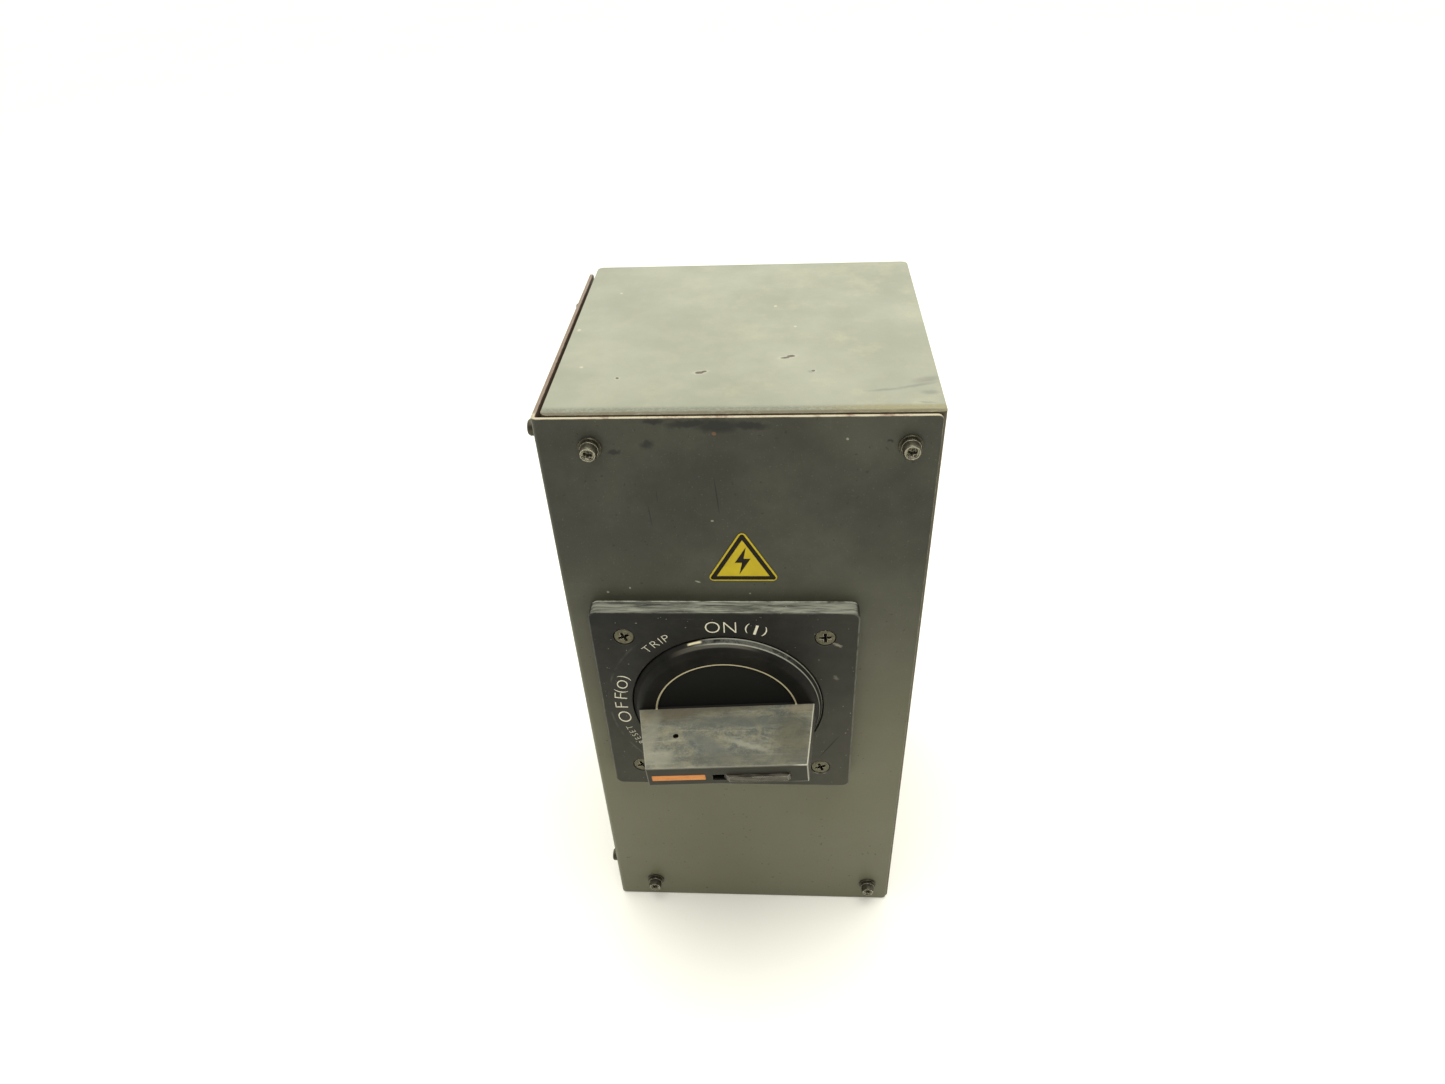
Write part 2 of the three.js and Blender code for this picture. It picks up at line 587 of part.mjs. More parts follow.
const bothEnds = (make) => [make(1), make(-1)];
const ordered = (a, b) => (a < b ? [a, b] : [b, a]);

// Moulded base: three contact chambers, and a terminal recess at both ends of each pole.
function breakerBase() {
  const { half, rise, split, back } = BREAKER;
  const chambers = POLES.map((x) =>
    block([x - POLE.half, x + POLE.half], [split - 1, POLE.floor], [-POLE.top, POLE.top]));
  const recesses = POLES.flatMap((x) => bothEnds((end) =>
    block([x - POLE.half, x + POLE.half], [split - 1, POLE.floor],
      ordered(end * POLE.recess, end * (rise + 1)))));
  const passages = POLES.flatMap((x) => bothEnds((end) =>
    block([x - BAR.half - FIT, x + BAR.half + FIT], [BAR.front - FIT, BAR.back + FIT],
      ordered(end * (POLE.top - 1), end * (POLE.recess + 1)))));
  const bearing = (CONTACT.radius + 0.03) / Math.cos((2 * Math.PI) / FINE); // measured across its flats
  const reach = POLES[2] + POLE.half - 0.5;
  return cut(
    block([-half, half], [split, back], [-rise, rise]),
    ...chambers,
    ...recesses,
    ...passages,
    crossRod(bearing, -reach, reach, [CONTACT.y, CONTACT.z], FINE / 2),
    block([-reach, reach], [split - 1, CONTACT.y], [CONTACT.z - bearing, CONTACT.z + bearing]),
    ...BREAKER_SCREWS.map(([x, z]) => rod(2.2, split - 1, back + 1, [x, z])),
  );
}

function breakerCover() {
  const { half, front, split, coverRise, wall } = BREAKER;
  const [low, high] = POLE.hollow;
  const hollows = POLES.map((x) =>
    block([x - POLE.half, x + POLE.half], [front + wall, split + 1], [low, high]));
  const [x, z] = FRAME.screw;
  return cut(
    block([-half, half], [front, split - FIT], [-coverRise, coverRise]),
    ...hollows,
    block([-TOGGLE.width / 2 - 1, TOGGLE.width / 2 + 1], [front - 1, front + wall + 1], [-19, 15]),
    rod(TRIP_BUTTON.radius + 0.15, front - 1, front + wall + 1, [0, TRIP_BUTTON.z]),
    ...BREAKER_SCREWS.map(([u, v]) => rod(2.2, front - 1, split + 1, [u, v])),
    ...atEachCorner([-x, x], [-z, z], (u, v) => rod(1.75, front - 1, front + 9, [u, v])),
  );
}

// Lever on its hub, with the curved shield that closes the cover's slot; drawn standing straight out.
function breakerToggle() {
  const { y, hub, tip, half, width } = TOGGLE;
  const { inner, outer, spread } = SHIELD;
  const arc = THREE.MathUtils.degToRad(spread);
  const shield = new THREE.Shape();
  shield.absarc(y, 0, outer, Math.PI - arc, Math.PI + arc);
  shield.absarc(y, 0, inner, Math.PI + arc, Math.PI - arc, true);
  const lever = roundedRect(tip, y, -half, half, [2, 0, 0, 2]);
  const across = width / 2;
  const pin = POLE.half - 0.3;
  return join(
    drawn(lever, "alongX", -across, width),
    drawn(shield, "alongX", -across - 3, width + 6, 8),
    crossRod(hub, -pin, pin, [y, 0], FINE / 2),
  );
}

function tripButton() {
  const { radius, reach } = TRIP_BUTTON;
  const inside = BREAKER.front + BREAKER.wall;
  return turned([
    [0, -reach], [radius - 0.4, -reach], [radius, -reach + 0.4], [radius, inside + FIT],
    [radius + 1.5, inside + FIT], [radius + 1.5, inside + 1.5], [0, inside + 1.5],
  ]);
}

// Copper bar from a pole's chamber out to its terminal recess, for the upper end.
function terminalBar() {
  const { half, front, back, inner, end, screw } = BAR;
  const bar = drawn(roundedRect(-half, half, inner, end, [0, 0, 2, 2]), "alongY", back, back - front, 3);
  return cut(bar, rod(3.2, front - 1, back + 1, [0, screw]));
}

// Moulded shaft that carries the three moving contacts.
function contactCarrier() {
  const { y, z, radius } = CONTACT;
  const reach = POLES[2] + POLE.half - 1;
  const seats = POLES.map((x) => {
    const across = [x - CONTACT.half - 0.1, x + CONTACT.half + 0.1];
    return block(across, [y - 2.1, y + 2.1], [z - radius - 1, z + radius + 1]);
  });
  return cut(crossRod(radius, -reach, reach, [y, z], FINE / 2), ...seats);
}

// Copper contact arm drawn closed: upright, with its pad on the terminal bar.
function contactArm() {
  const { y, z, half, tip, pad, radius } = CONTACT;
  return join(
    block([-half, half], [y - 2, y + 2], [z - radius, z + tip]),
    rod(3, y + 1, BAR.front - 0.2, [0, z + pad]),
  );
}

// Hat section that stands the breaker off the back wall.
function mountingBracket() {
  const { half, wall, rise, foot, back } = BRACKET;
  const front = BREAKER.back + FIT;
  const z = [-rise, rise];
  const hat = cut(
    block([-half, half], [front, back], z),
    block([wall - half, half - wall], [front + wall, back + 1], [-rise - 1, rise + 1]),
  );
  const feet = [-1, 1].map((side) =>
    block(ordered(side * (half - 1), side * foot), [back - wall, back], z));
  return cut(
    join(hat, ...feet),
    ...BREAKER_SCREWS.map(([u, v]) => rod(2.1, front - 1, front + wall + 1, [u, v])),
  );
}

// ---------------------------------------------------------------- assembly

// Turns a geometry about the Y axis, clockwise as the operator sees it.
function turnedClockwise(geometry, degrees) {
  return geometry.rotateY((degrees * Math.PI) / 180);
}

// Turns a geometry about an X axis through (y, z), its front going up.
function tippedUp(geometry, degrees, [y, z]) {
  return geometry.translate(0, -y, -z).rotateX((-degrees * Math.PI) / 180).translate(0, y, z);
}

function boxPieces() {
  const leftScrews = atEachCorner([COVER_SCREW.near, COVER_SCREW.far], SCREW_HEIGHTS, (y, z) =>
    washerScrew().rotateZ(-Math.PI / 2).translate(LEFT, y, z));
  const frontScrews = atEachCorner([COVER_SCREW.left, COVER_SCREW.right], SCREW_HEIGHTS, (x, z) =>
    washerScrew().translate(x, FRONT, z));
  const grommet = cableGrommet().rotateZ(Math.PI / 2);
  return [
    piece("enclosure_body", enclosureBody(), paint),
    piece("front_cover", frontCover(), paint),
    ...frontScrews.map((g, i) => piece(`front_screw_${i + 1}`, g, zinc)),
    ...leftScrews.map((g, i) => piece(`side_screw_${i + 1}`, g, zinc)),
    piece("warning_label", warningLabel().translate(0.6, FRONT - FIT, 251.8), yellow),
    piece("cable_grommet", grommet.translate(RIGHT, GROMMET.y, GROMMET.z), rubber),
    piece("earth_stud", earthStud().translate(EARTH.x, BACK - SHEET, EARTH.z), copper),
  ];
}

const onAxis = (geometry) => geometry.translate(AXIS.x, FRONT, AXIS.z);

function platePieces() {
  const screws = plateScrewPlaces().map(([x, z]) =>
    flatScrew(4.4, 2.4, 14).translate(x, FIT - PLATE.face, z));
  return [
    piece("handle_plate", onAxis(handlePlate()), blackPlastic),
    piece("handle_gasket", onAxis(squareSheet(GASKET, 2.8)), rubber),
    piece("clamp_plate", onAxis(squareSheet(CLAMP_PLATE, 2.5)), steel),
    ...screws.map((g, i) => piece(`plate_screw_${i + 1}`, onAxis(g), zinc)),
  ];
}

// Everything that turns with the handle, drawn level and then let hang at its rest angle.
function handlePieces() {
  const atRest = (geometry) => onAxis(turnedClockwise(geometry, REST));
  const hubScrews = hubScrewPlaces().map(([x, z]) => hubScrew().translate(x, -DISC.back, z));
  return [
    piece("rotary_handle", atRest(rotaryHandle()), blackPlastic),
    piece("index_strip", atRest(indexStrip()), orange),
    piece("lock_plate", atRest(lockPlate()), steel),
    piece("lock_screw", atRest(lockScrew()), steel),
    piece("lock_spring", atRest(lockSpring()), steel),
    piece("handle_hub", atRest(handleHub()), zinc),
    ...hubScrews.map((g, i) => piece(`hub_screw_${i + 1}`, atRest(g), steel)),
    piece("hub_circlip", atRest(circlip()), steel),
  ];
}

function mechanismPieces() {
  const onShaft = (geometry) => geometry.translate(AXIS.x, 0, AXIS.z);
  const fromTrip = REST - TRIP;
  const [x, z] = FRAME.screw;
  const screws = atEachCorner([-x, x], [-z, z], (u, v) =>
    slottedScrew(3.4, 2.4, 1.65, 10).translate(u, FRAME.back - FRAME.wall - FIT, v));
  return [
    piece("handle_shaft", onShaft(turnedClockwise(handleShaft(), REST)), steel),
    piece("pinion", onShaft(turnedClockwise(pinion(), fromTrip)), steel),
    piece("toothed_slider", onShaft(toothedSlider().translate(0, 0, slideFor(fromTrip))), greyPlastic),
    piece("mechanism_frame", onShaft(mechanismFrame()), zinc),
    ...screws.map((g, i) => piece(`frame_screw_${i + 1}`, onShaft(g), steel)),
  ];
}

function breakerPieces() {
  const onShaft = (geometry) => geometry.translate(AXIS.x, 0, AXIS.z);
  const fromTrip = REST - TRIP;
  const open = -CONTACT.ratio * HANDLE_RANGE[1];
  const toggle = tippedUp(breakerToggle(), TOGGLE.ratio * fromTrip, [TOGGLE.y, 0]);
  const bar = (end) => (end > 0 ? terminalBar() : terminalBar().rotateY(Math.PI));
  const screw = () => slottedScrew(5.5, 4, 3, 8);
  const ends = [[1, "line"], [-1, "load"]];
  const terminals = ends.flatMap(([end, side]) => POLES.flatMap((x, i) => [
    piece(`${side}_terminal_${i + 1}`, onShaft(bar(end).translate(x, 0, 0)), copper),
    piece(`${side}_screw_${i + 1}`, onShaft(screw().translate(x, BAR.front - FIT, end * BAR.screw)),
      steel),
  ]));
  const pivot = [CONTACT.y, CONTACT.z];
  const mounting = BREAKER_SCREWS.map(([x, z]) =>
    slottedScrew(4.2, 3, 2, BREAKER.back - BREAKER.front + 4).translate(x, BREAKER.front - FIT, z));
  return [
    piece("breaker_base", onShaft(breakerBase()), blackPlastic),
    piece("breaker_cover", onShaft(breakerCover()), greyPlastic),
    piece("breaker_toggle", onShaft(toggle), blackPlastic),
    piece("trip_button", onShaft(tripButton().translate(0, 0, TRIP_BUTTON.z)), red),
    piece("contact_carrier", onShaft(tippedUp(contactCarrier(), open, pivot)), fibre),
    ...POLES.map((x, i) =>
      piece(`contact_arm_${i + 1}`, onShaft(tippedUp(contactArm(), open, pivot).translate(x, 0, 0)),
        copper)),
    ...terminals,
    ...mounting.map((g, i) => piece(`breaker_screw_${i + 1}`, onShaft(g), steel)),
    piece("mounting_bracket", onShaft(mountingBracket()), zinc),
  ];
}

const isolator = new THREE.Group();
isolator.name = "enclosed_isolator";
isolator.add(...boxPieces(), ...platePieces(), ...handlePieces());
isolator.add(...mechanismPieces(), ...breakerPieces());

export default isolator;
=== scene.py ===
"""Looks of the enclosed rotary isolator: worn paint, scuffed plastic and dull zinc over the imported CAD.

Metres, in the CAD's own frame: +Z up, the handle's face looks along -Y. `MM` turns millimetres into metres.
"""

import json
import math
import random
from functools import reduce
from types import SimpleNamespace

import bmesh
import bpy
from mathutils import Matrix, Vector


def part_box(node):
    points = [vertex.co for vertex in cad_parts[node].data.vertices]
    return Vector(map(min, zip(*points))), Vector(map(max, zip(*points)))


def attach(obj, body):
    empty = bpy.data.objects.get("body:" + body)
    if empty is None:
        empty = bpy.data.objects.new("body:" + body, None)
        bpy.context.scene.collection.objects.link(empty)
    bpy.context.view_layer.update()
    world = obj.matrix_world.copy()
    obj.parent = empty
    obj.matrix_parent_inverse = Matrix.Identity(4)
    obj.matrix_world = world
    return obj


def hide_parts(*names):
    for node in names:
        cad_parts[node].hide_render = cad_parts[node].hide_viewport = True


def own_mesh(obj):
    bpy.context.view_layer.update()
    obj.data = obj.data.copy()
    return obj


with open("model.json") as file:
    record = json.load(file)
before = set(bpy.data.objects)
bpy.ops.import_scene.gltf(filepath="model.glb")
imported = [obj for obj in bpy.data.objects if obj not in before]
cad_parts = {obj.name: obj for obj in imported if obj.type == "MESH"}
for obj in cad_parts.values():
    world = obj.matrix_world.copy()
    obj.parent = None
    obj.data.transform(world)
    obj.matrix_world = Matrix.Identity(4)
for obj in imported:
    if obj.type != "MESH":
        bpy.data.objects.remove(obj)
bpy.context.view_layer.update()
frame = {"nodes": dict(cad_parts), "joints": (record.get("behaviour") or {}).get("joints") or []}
MM = 0.001
RNG = random.Random(7)

# ---- sizes read from the frame

BODY_LO, BODY_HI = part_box("enclosure_body")
COVER_LO, COVER_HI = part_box("front_cover")
LABEL_LO, LABEL_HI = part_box("warning_label")
FRONT = COVER_LO.y
HINGE = next(j for j in frame["joints"] if j["name"] == "handle_turn")
AXIS = Vector((HINGE["pos_m"][0], FRONT, HINGE["pos_m"][2]))
REST_TURN = math.radians(-4)  # the handle hangs this far from OFF, towards RESET
ON_FRONT = Matrix.Translation(AXIS)
ON_HANDLE = ON_FRONT @ Matrix.Rotation(REST_TURN, 4, "Y")

# ---- sizes about the handle's axis


def sizes(**millimetres):
    return SimpleNamespace(**{name: size * MM for name, size in millimetres.items()})


PLATE = sizes(half=60.5, face=-8, floor=-3.5, back=-0.1, corner=4, recess=46, shaft_hole=14.7,
              screw_pitch=45.5, pocket=58.1, pocket_depth=1.1)
DISC = sizes(radius=45.2, boss=20, boss_back=-6.4, back=-3.9, side=-8.2, face=-13.6,
             dish=33.3, dish_foot=32.8, floor=-12.5, shoulder=4.2, shoulder_middle=39.8)
GRIP = sizes(root=41.8, left=-34.6, right=37.9, half=5.8, front=-49)
SLOT = sizes(left=-29, right=30.1, low=-3.1, high=0.8, mouth=-4.9, front=-46)
STRIP = sizes(left=-32.5, right=-8.1, low=-2.5, high=0.9, depth=1.5)
PIN_HOLE = sizes(radius=1.35, x=-22.4, y=-30.5)
HUB_HOLE = sizes(radius=1.3, z=16.6, end=-10.4)
SINK = sizes(head=4.9, depth=0.7, hole=2.7, cone_end=2.9)

# ---- mesh helpers

PLAIN, WORN, DEEP = range(3)  # marks on faces: as made, a rubbed edge, a deep cut that holds grime


def rounded(points, radius, steps=6):
    """An outline with each corner turned into an arc."""
    if not radius:
        return points
    made = []
    count = len(points)
    for i, corner in enumerate(points):
        here = Vector(corner)
        back = (Vector(points[i - 1]) - here).normalized()
        ahead = (Vector(points[(i + 1) % count]) - here).normalized()
        half = back.angle(ahead) / 2
        centre = here + (back + ahead).normalized() * (radius / math.sin(half))
        first = here + back * (radius / math.tan(half)) - centre
        last = here + ahead * (radius / math.tan(half)) - centre
        sweep = math.atan2(first.x * last.y - first.y * last.x, first.dot(last))
        for k in range(steps + 1):
            made.append(centre + Matrix.Rotation(sweep * k / steps, 2) @ first)
    return made


def rectangle(x0, x1, z0, z1):
    return [(x0, z0), (x1, z0), (x1, z1), (x0, z1)]


def around(radius, turn, y=0.0):
    """A point at a radius from the Y axis, turned from +X towards +Z."""
    return radius * math.cos(turn), y, radius * math.sin(turn)


def at(x, y, z):
    return Matrix.Translation((x, y, z))


def turned(degrees, axis):
    return Matrix.Rotation(math.radians(degrees), 4, axis)


def link_object(name, data):
    obj = bpy.data.objects.new(name, data)
    bpy.context.scene.collection.objects.link(obj)
    return obj


def new_object(name, bm):
    bmesh.ops.recalc_face_normals(bm, faces=bm.faces)
    mesh = bpy.data.meshes.new(name)
    bm.to_mesh(mesh)
    bm.free()
    make_room_for_marks(mesh)
    return link_object(name, mesh)


def make_room_for_marks(mesh):
    """Empty material slots, so that a face's slot number can serve as its mark until it gets its finish."""
    mesh.materials.clear()
    for _ in (PLAIN, WORN, DEEP):
        mesh.materials.append(None)


def mark_faces(obj, mark, wanted):
    """Marks the faces whose middle is wanted."""
    for face in obj.data.polygons:
        if wanted(face.center):
            face.material_index = mark


def loft(name, rings):
    """A closed solid through rings of points, all rings with the same number of points."""
    bm = bmesh.new()
    loops = [[bm.verts.new(point) for point in ring] for ring in rings]
    bm.faces.new(loops[0])
    bm.faces.new(list(reversed(loops[-1])))
    for a, b in zip(loops, loops[1:]):
        count = len(a)
        for k in range(count):
            m = (k + 1) % count
            bm.faces.new((a[k], b[k], b[m], a[m]))
    return new_object(name, bm)


def prism(name, outline, y0, y1):
    """A solid with an outline in (x, z), drawn from y0 to y1."""
    return loft(name, [[(x, y, z) for x, z in outline] for y in (y0, y1)])


def lathe(name, profile, sides=96):
    """A turned solid about the Y axis through the origin, from (radius, y) points on a closed outline."""
    bm = bmesh.new()
    rings = []
    for radius, y in profile:
        corners = sides if radius > 0 else 1
        rings.append([bm.verts.new(around(radius, math.tau * k / sides, y)) for k in range(corners)])
    for a, b in zip(rings, rings[1:] + rings[:1]):
        for k in range(sides):
            m = (k + 1) % sides
            if len(a) > 1 and len(b) > 1:
                bm.faces.new((a[k], a[m], b[m], b[k]))
            elif len(a) > 1:
                bm.faces.new((a[k], a[m], b[0]))
            elif len(b) > 1:
                bm.faces.new((a[0], b[m], b[k]))
    return new_object(name, bm)


def box_tool(x, y, z, soft=0.0):
    return prism("tool", rounded(rectangle(*x, *z), soft), *y)


def rod_tool(radius, y0, y1, z=0.0, sides=64):
    rim = [around(radius, math.tau * i / sides) for i in range(sides)]
    return prism("tool", [(across, z + up) for across, _, up in rim], y0, y1)


def final_mesh(obj):
    """What Blender makes of an object with its modifiers, or of lettering."""
    bpy.context.view_layer.update()
    return bpy.data.meshes.new_from_object(obj.evaluated_get(bpy.context.evaluated_depsgraph_get()))


def bake(obj):
    """Replaces an object's mesh with what its modifiers make of it."""
    mesh = final_mesh(obj)
    obj.modifiers.clear()
    obj.data = mesh


def modify(obj, kind, **settings):
    step = obj.modifiers.new(kind.lower(), kind)
    for name, value in settings.items():
        setattr(step, name, value)


def boolean(obj, tools, operation="DIFFERENCE", mark=None):
    """Cuts with or joins on each tool; what the tools leave behind carries their mark."""
    for tool in tools:
        if mark is not None:
            tool.data.polygons.foreach_set("material_index", [mark] * len(tool.data.polygons))
        modify(obj, "BOOLEAN", object=tool, operation=operation, solver="EXACT")
    bake(obj)
    for tool in tools:
        bpy.data.objects.remove(tool, do_unlink=True)


def tidy(obj, flat=0.6):
    """Merges doubled points and joins faces that lie in one plane."""
    bm = bmesh.new()
    bm.from_mesh(obj.data)
    bmesh.ops.remove_doubles(bm, verts=bm.verts, dist=0.002 * MM)
    bmesh.ops.dissolve_limit(
        bm, angle_limit=math.radians(flat), verts=bm.verts, edges=bm.edges, delimit={"MATERIAL"})
    bm.to_mesh(obj.data)
    bm.free()


def sharp_runs(bm, angle):
    """The sharp edges, in lists of edges that touch one another."""
    left = {e for e in bm.edges if len(e.link_faces) == 2 and e.calc_face_angle() > angle}
    while left:
        run = [left.pop()]
        for edge in run:
            near = {e for v in edge.verts for e in v.link_edges} & left
            left -= near
            run.extend(near)
        yield run


def is_outline(run):
    """True for a run more than 25 mm across, so an outline or a fold and not the rim of a hole."""
    points = [v.co for e in run for v in e.verts]
    return max(max(p[k] for p in points) - min(p[k] for p in points) for k in range(3)) > 25 * MM


def rounded_edges(obj, width, segments=3, angle=32, pick=None):
    """Rounds the sharp edges for good, or only the runs that `pick` wants, and marks them as worn."""
    bm = bmesh.new()
    bm.from_mesh(obj.data)
    weight = bm.edges.layers.float.new("bevel_weight_edge")
    for run in sharp_runs(bm, math.radians(angle)):
        if pick is None or pick(run):
            for edge in run:
                edge[weight] = 1.0
    bm.to_mesh(obj.data)
    bm.free()
    modify(obj, "BEVEL", width=width, segments=segments, limit_method="WEIGHT", material=WORN,
           miter_outer="MITER_ARC")
    bake(obj)
    obj.data.attributes.remove(obj.data.attributes["bevel_weight_edge"])
    return smooth(obj, 45)


def smooth(obj, angle=40):
    """Shades smoothly across every edge that turns less than the angle."""
    obj.data.polygons.foreach_set("use_smooth", [True] * len(obj.data.polygons))
    obj.data.set_sharp_from_angle(angle=math.radians(angle))
    modify(obj, "WEIGHTED_NORMAL", keep_sharp=True)
    return obj


def transform(obj, matrix):
    obj.data.transform(matrix)
    obj.data.update()
    return obj


def joined(name, parts):
    """One object from several, each keeping its own shell."""
    bm = bmesh.new()
    for part in parts:
        bm.from_mesh(part.data)
    obj = new_object(name, bm)
    for part in parts:
        bpy.data.objects.remove(part, do_unlink=True)
    return obj


def from_node(node, width, segments=3, angle=32, pick=None):
    """The CAD node's own shape with its seams merged and its edges rounded."""
    obj = link_object(node + "_look", frame["nodes"][node].data.copy())
    if "custom_normal" in obj.data.attributes:
        obj.data.attributes.remove(obj.data.attributes["custom_normal"])
    make_room_for_marks(obj.data)
    tidy(obj)
    return rounded_edges(obj, width, segments, angle, pick)


def finish(obj, material):
    """Turns the faces' marks into values that the material can read, and puts the material on."""
    mesh = obj.data
    marks = [0] * len(mesh.polygons)
    mesh.polygons.foreach_get("material_index", marks)
    for name, mark in (("worn", WORN), ("deep", DEEP)):
        layer = mesh.attributes.new(name, "FLOAT", "FACE")
        layer.data.foreach_set("value", [float(m == mark) for m in marks])
    mesh.polygons.foreach_set("material_index", [0] * len(marks))
    mesh.materials.clear()
    mesh.materials.append(material)


def adopt(obj, body, node, material):
    """Rides on a body, stands for a CAD node and takes a finish."""
    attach(obj, body)
    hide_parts(node)
    finish(obj, material)


# ---- material kit


class Paint:
    """One procedural material in object space: a base colour, and coats laid over it one by one."""

    def __init__(self, name, roughness, metallic=0.0, specular=0.5):
        self.material = bpy.data.materials.new(name)
        self.material.use_nodes = True
        self.tree = self.material.node_tree
        self.sockets = self.tree.nodes["Principled BSDF"].inputs
        self.sockets["Roughness"].default_value = roughness
        self.sockets["Metallic"].default_value = metallic
        self.sockets["Specular IOR Level"].default_value = specular
        coords = self.node("TexCoord")
        self.place = coords.outputs["Object"]
        self.normal = coords.outputs["Normal"]
        self.colour = None

    def node(self, kind, **inputs):
        """A shader node with values or links on its inputs, named in lower case."""
        made = self.tree.nodes.new("ShaderNode" + kind)
        for name, value in inputs.items():
            self.link(value, made.inputs[name.replace("_", " ").title()])
        return made

    def link(self, value, socket):
        if isinstance(value, bpy.types.NodeSocket):
            self.tree.links.new(value, socket)
        elif socket.type == "RGBA":
            socket.default_value = (*value, 1)
        else:
            socket.default_value = value

    def calc(self, operation, a, b=0.0):
        node = self.node("Math")
        node.operation = operation
        self.link(a, node.inputs[0])
        self.link(b, node.inputs[1])
        return node.outputs[0]

    def vector_calc(self, operation, *values):
        node = self.node("VectorMath")
        node.operation = operation
        for value, socket in zip(values, node.inputs):
            self.link(value, socket)
        return node

    def level(self, value, lo, hi, low=0.0, high=1.0):
        """A value from lo to hi, spread smoothly over low to high."""
        node = self.node("MapRange", value=value, from_min=lo, from_max=hi, to_min=low, to_max=high)
        node.interpolation_type = "SMOOTHSTEP"
        return node.outputs["Result"]

    def mix(self, amount, a, b):
        node = self.node("Mix")
        node.data_type = "RGBA"
        self.link(amount, node.inputs["Factor"])
        self.link(a, node.inputs["A"])
        self.link(b, node.inputs["B"])
        return node.outputs["Result"]

    def all_of(self, *masks):
        return reduce(lambda a, b: self.calc("MULTIPLY", a, b), masks)

    def any_of(self, *masks):
        return reduce(lambda a, b: self.calc("MAXIMUM", a, b), masks)

    def over(self, colour, *coats):
        """A colour with coats over it; each coat is its colour and the masks and strengths that limit it."""
        for coat, *masks in coats:
            colour = self.mix(self.all_of(*masks), colour, coat)
        return colour

    def base(self, amount, a, b):
        self.colour = self.mix(amount, a, b)

    def coat(self, colour, *masks):
        self.colour = self.over(self.colour, (colour, *masks))

    def noise(self, size, detail, rough, stretch=(1, 1, 1), shift=0.0, distortion=0.0, turn=0.0):
        """Cloudy noise with features of about `size` millimetres, stretched along axes turned about Z."""
        mapping = self.node("Mapping", vector=self.place, rotation=(0, 0, turn), scale=stretch,
                            location=(shift, shift * 0.7, -shift))
        noise = self.node("TexNoise", vector=mapping.outputs[0], scale=1 / (size * MM), detail=detail,
                          roughness=rough, distortion=distortion)
        return noise.outputs["Fac"]

    def clouds(self, size, detail, rough, lo, hi, low=0.0, high=1.0, **more):
        """Noise in patches: `low` where it stays under lo, `high` where it is over hi."""
        return self.level(self.noise(size, detail, rough, **more), lo, hi, low, high)

    def axis(self, name, source=None):
        node = self.node("SeparateXYZ")
        self.link(source or self.place, node.inputs[0])
        return node.outputs[name]

    def along(self, name, *span):
        """Goes from 0 to 1 between two places on an axis."""
        return self.level(self.axis(name), *span)

    def facing(self, name, *span):
        """Goes from 0 to 1 as the surface turns towards an axis."""
        return self.level(self.axis(name, self.normal), *span)

    def spot(self, centre, radii, turn, soft, ragged=0.0, plane="Y"):
        """1 inside an ellipse that lies across the given axis, fading out over its rim."""
        place = self.place
        if ragged:
            wobble = self.node("TexNoise", vector=self.place, scale=1 / (2.5 * MM)).outputs["Color"]
            place = self.vector_calc("MULTIPLY_ADD", wobble, (ragged,) * 3, self.place).outputs[0]
            centre = [c + ragged / 2 for c in centre]
        (x, up), (wide, tall), through = centre, radii, 1000  # no limit along the axis it lies across
        if plane == "Y":
            node = self.node("Mapping", vector=place, location=(x, 0, up), rotation=(0, -turn, 0),
                             scale=(wide, through, tall))
        else:
            node = self.node("Mapping", vector=place, location=(x, up, 0), rotation=(0, 0, turn),
                             scale=(wide, tall, through))
        node.vector_type = "TEXTURE"
        length = self.vector_calc("LENGTH", node.outputs[0]).outputs["Value"]
        return self.level(length, 1 + soft / 2, 1 - soft / 2)

    def dabs(self, places, soft, ragged, corner, plane="Y", grow=1.0):
        """Spots on one plane: ((across, up), (wide, tall), turn), in millimetres from a corner."""
        spots = []
        for place, radii, turn in places:
            centre = [c + p * MM for c, p in zip(corner, place)]
            reach = [r * grow * MM for r in radii]
            spots.append(self.spot(centre, reach, turn, soft, ragged * MM, plane))
        return self.any_of(*spots)

    def patches(self, colour, places, plane="Y"):
        """Soft stains: ((across, up), (wide, tall), turn, colour, strength), in millimetres."""
        for centre, radii, turn, stain, strength in places:
            spot = self.dabs([(centre, radii, turn)], 1.2, 3, (0, 0), plane)
            colour = self.over(colour, (stain, spot, strength))
        return colour

    def marked(self, name):
        """1 on the faces that carry a mark."""
        node = self.node("Attribute")
        node.attribute_name = name
        return node.outputs["Fac"]

    def edges(self, radius):
        """1 along sharp edges within about `radius`, where the surface turns."""
        bevel = self.node("Bevel", radius=radius)
        bevel.samples = 6
        normal = self.node("NewGeometry").outputs["Normal"]
        alike = self.vector_calc("DOT_PRODUCT", bevel.outputs[0], normal).outputs["Value"]
        return self.level(self.calc("SUBTRACT", 1.0, alike), 0.02, 0.35)

    def worn(self, radius, size, lo=0.28, hi=0.62, shift=5.0):
        """Rubbed edges: the marked ones and any turn within `radius` millimetres, broken up into patches."""
        rubbed = self.any_of(self.marked("worn"), self.edges(radius * MM))
        return self.all_of(rubbed, self.clouds(size, 5, 0.65, lo, hi, shift=shift))

    def band(self, value, middle, half, soft):
        """1 where a value lies within `half` of the middle."""
        off = self.calc("ABSOLUTE", self.calc("SUBTRACT", value, middle))
        return self.level(off, half + soft, half)

    def reach(self):
        """Distance from the object's Y axis."""
        x, z = self.axis("X"), self.axis("Z")
        return self.calc("SQRT", self.calc("ADD", self.all_of(x, x), self.all_of(z, z)))

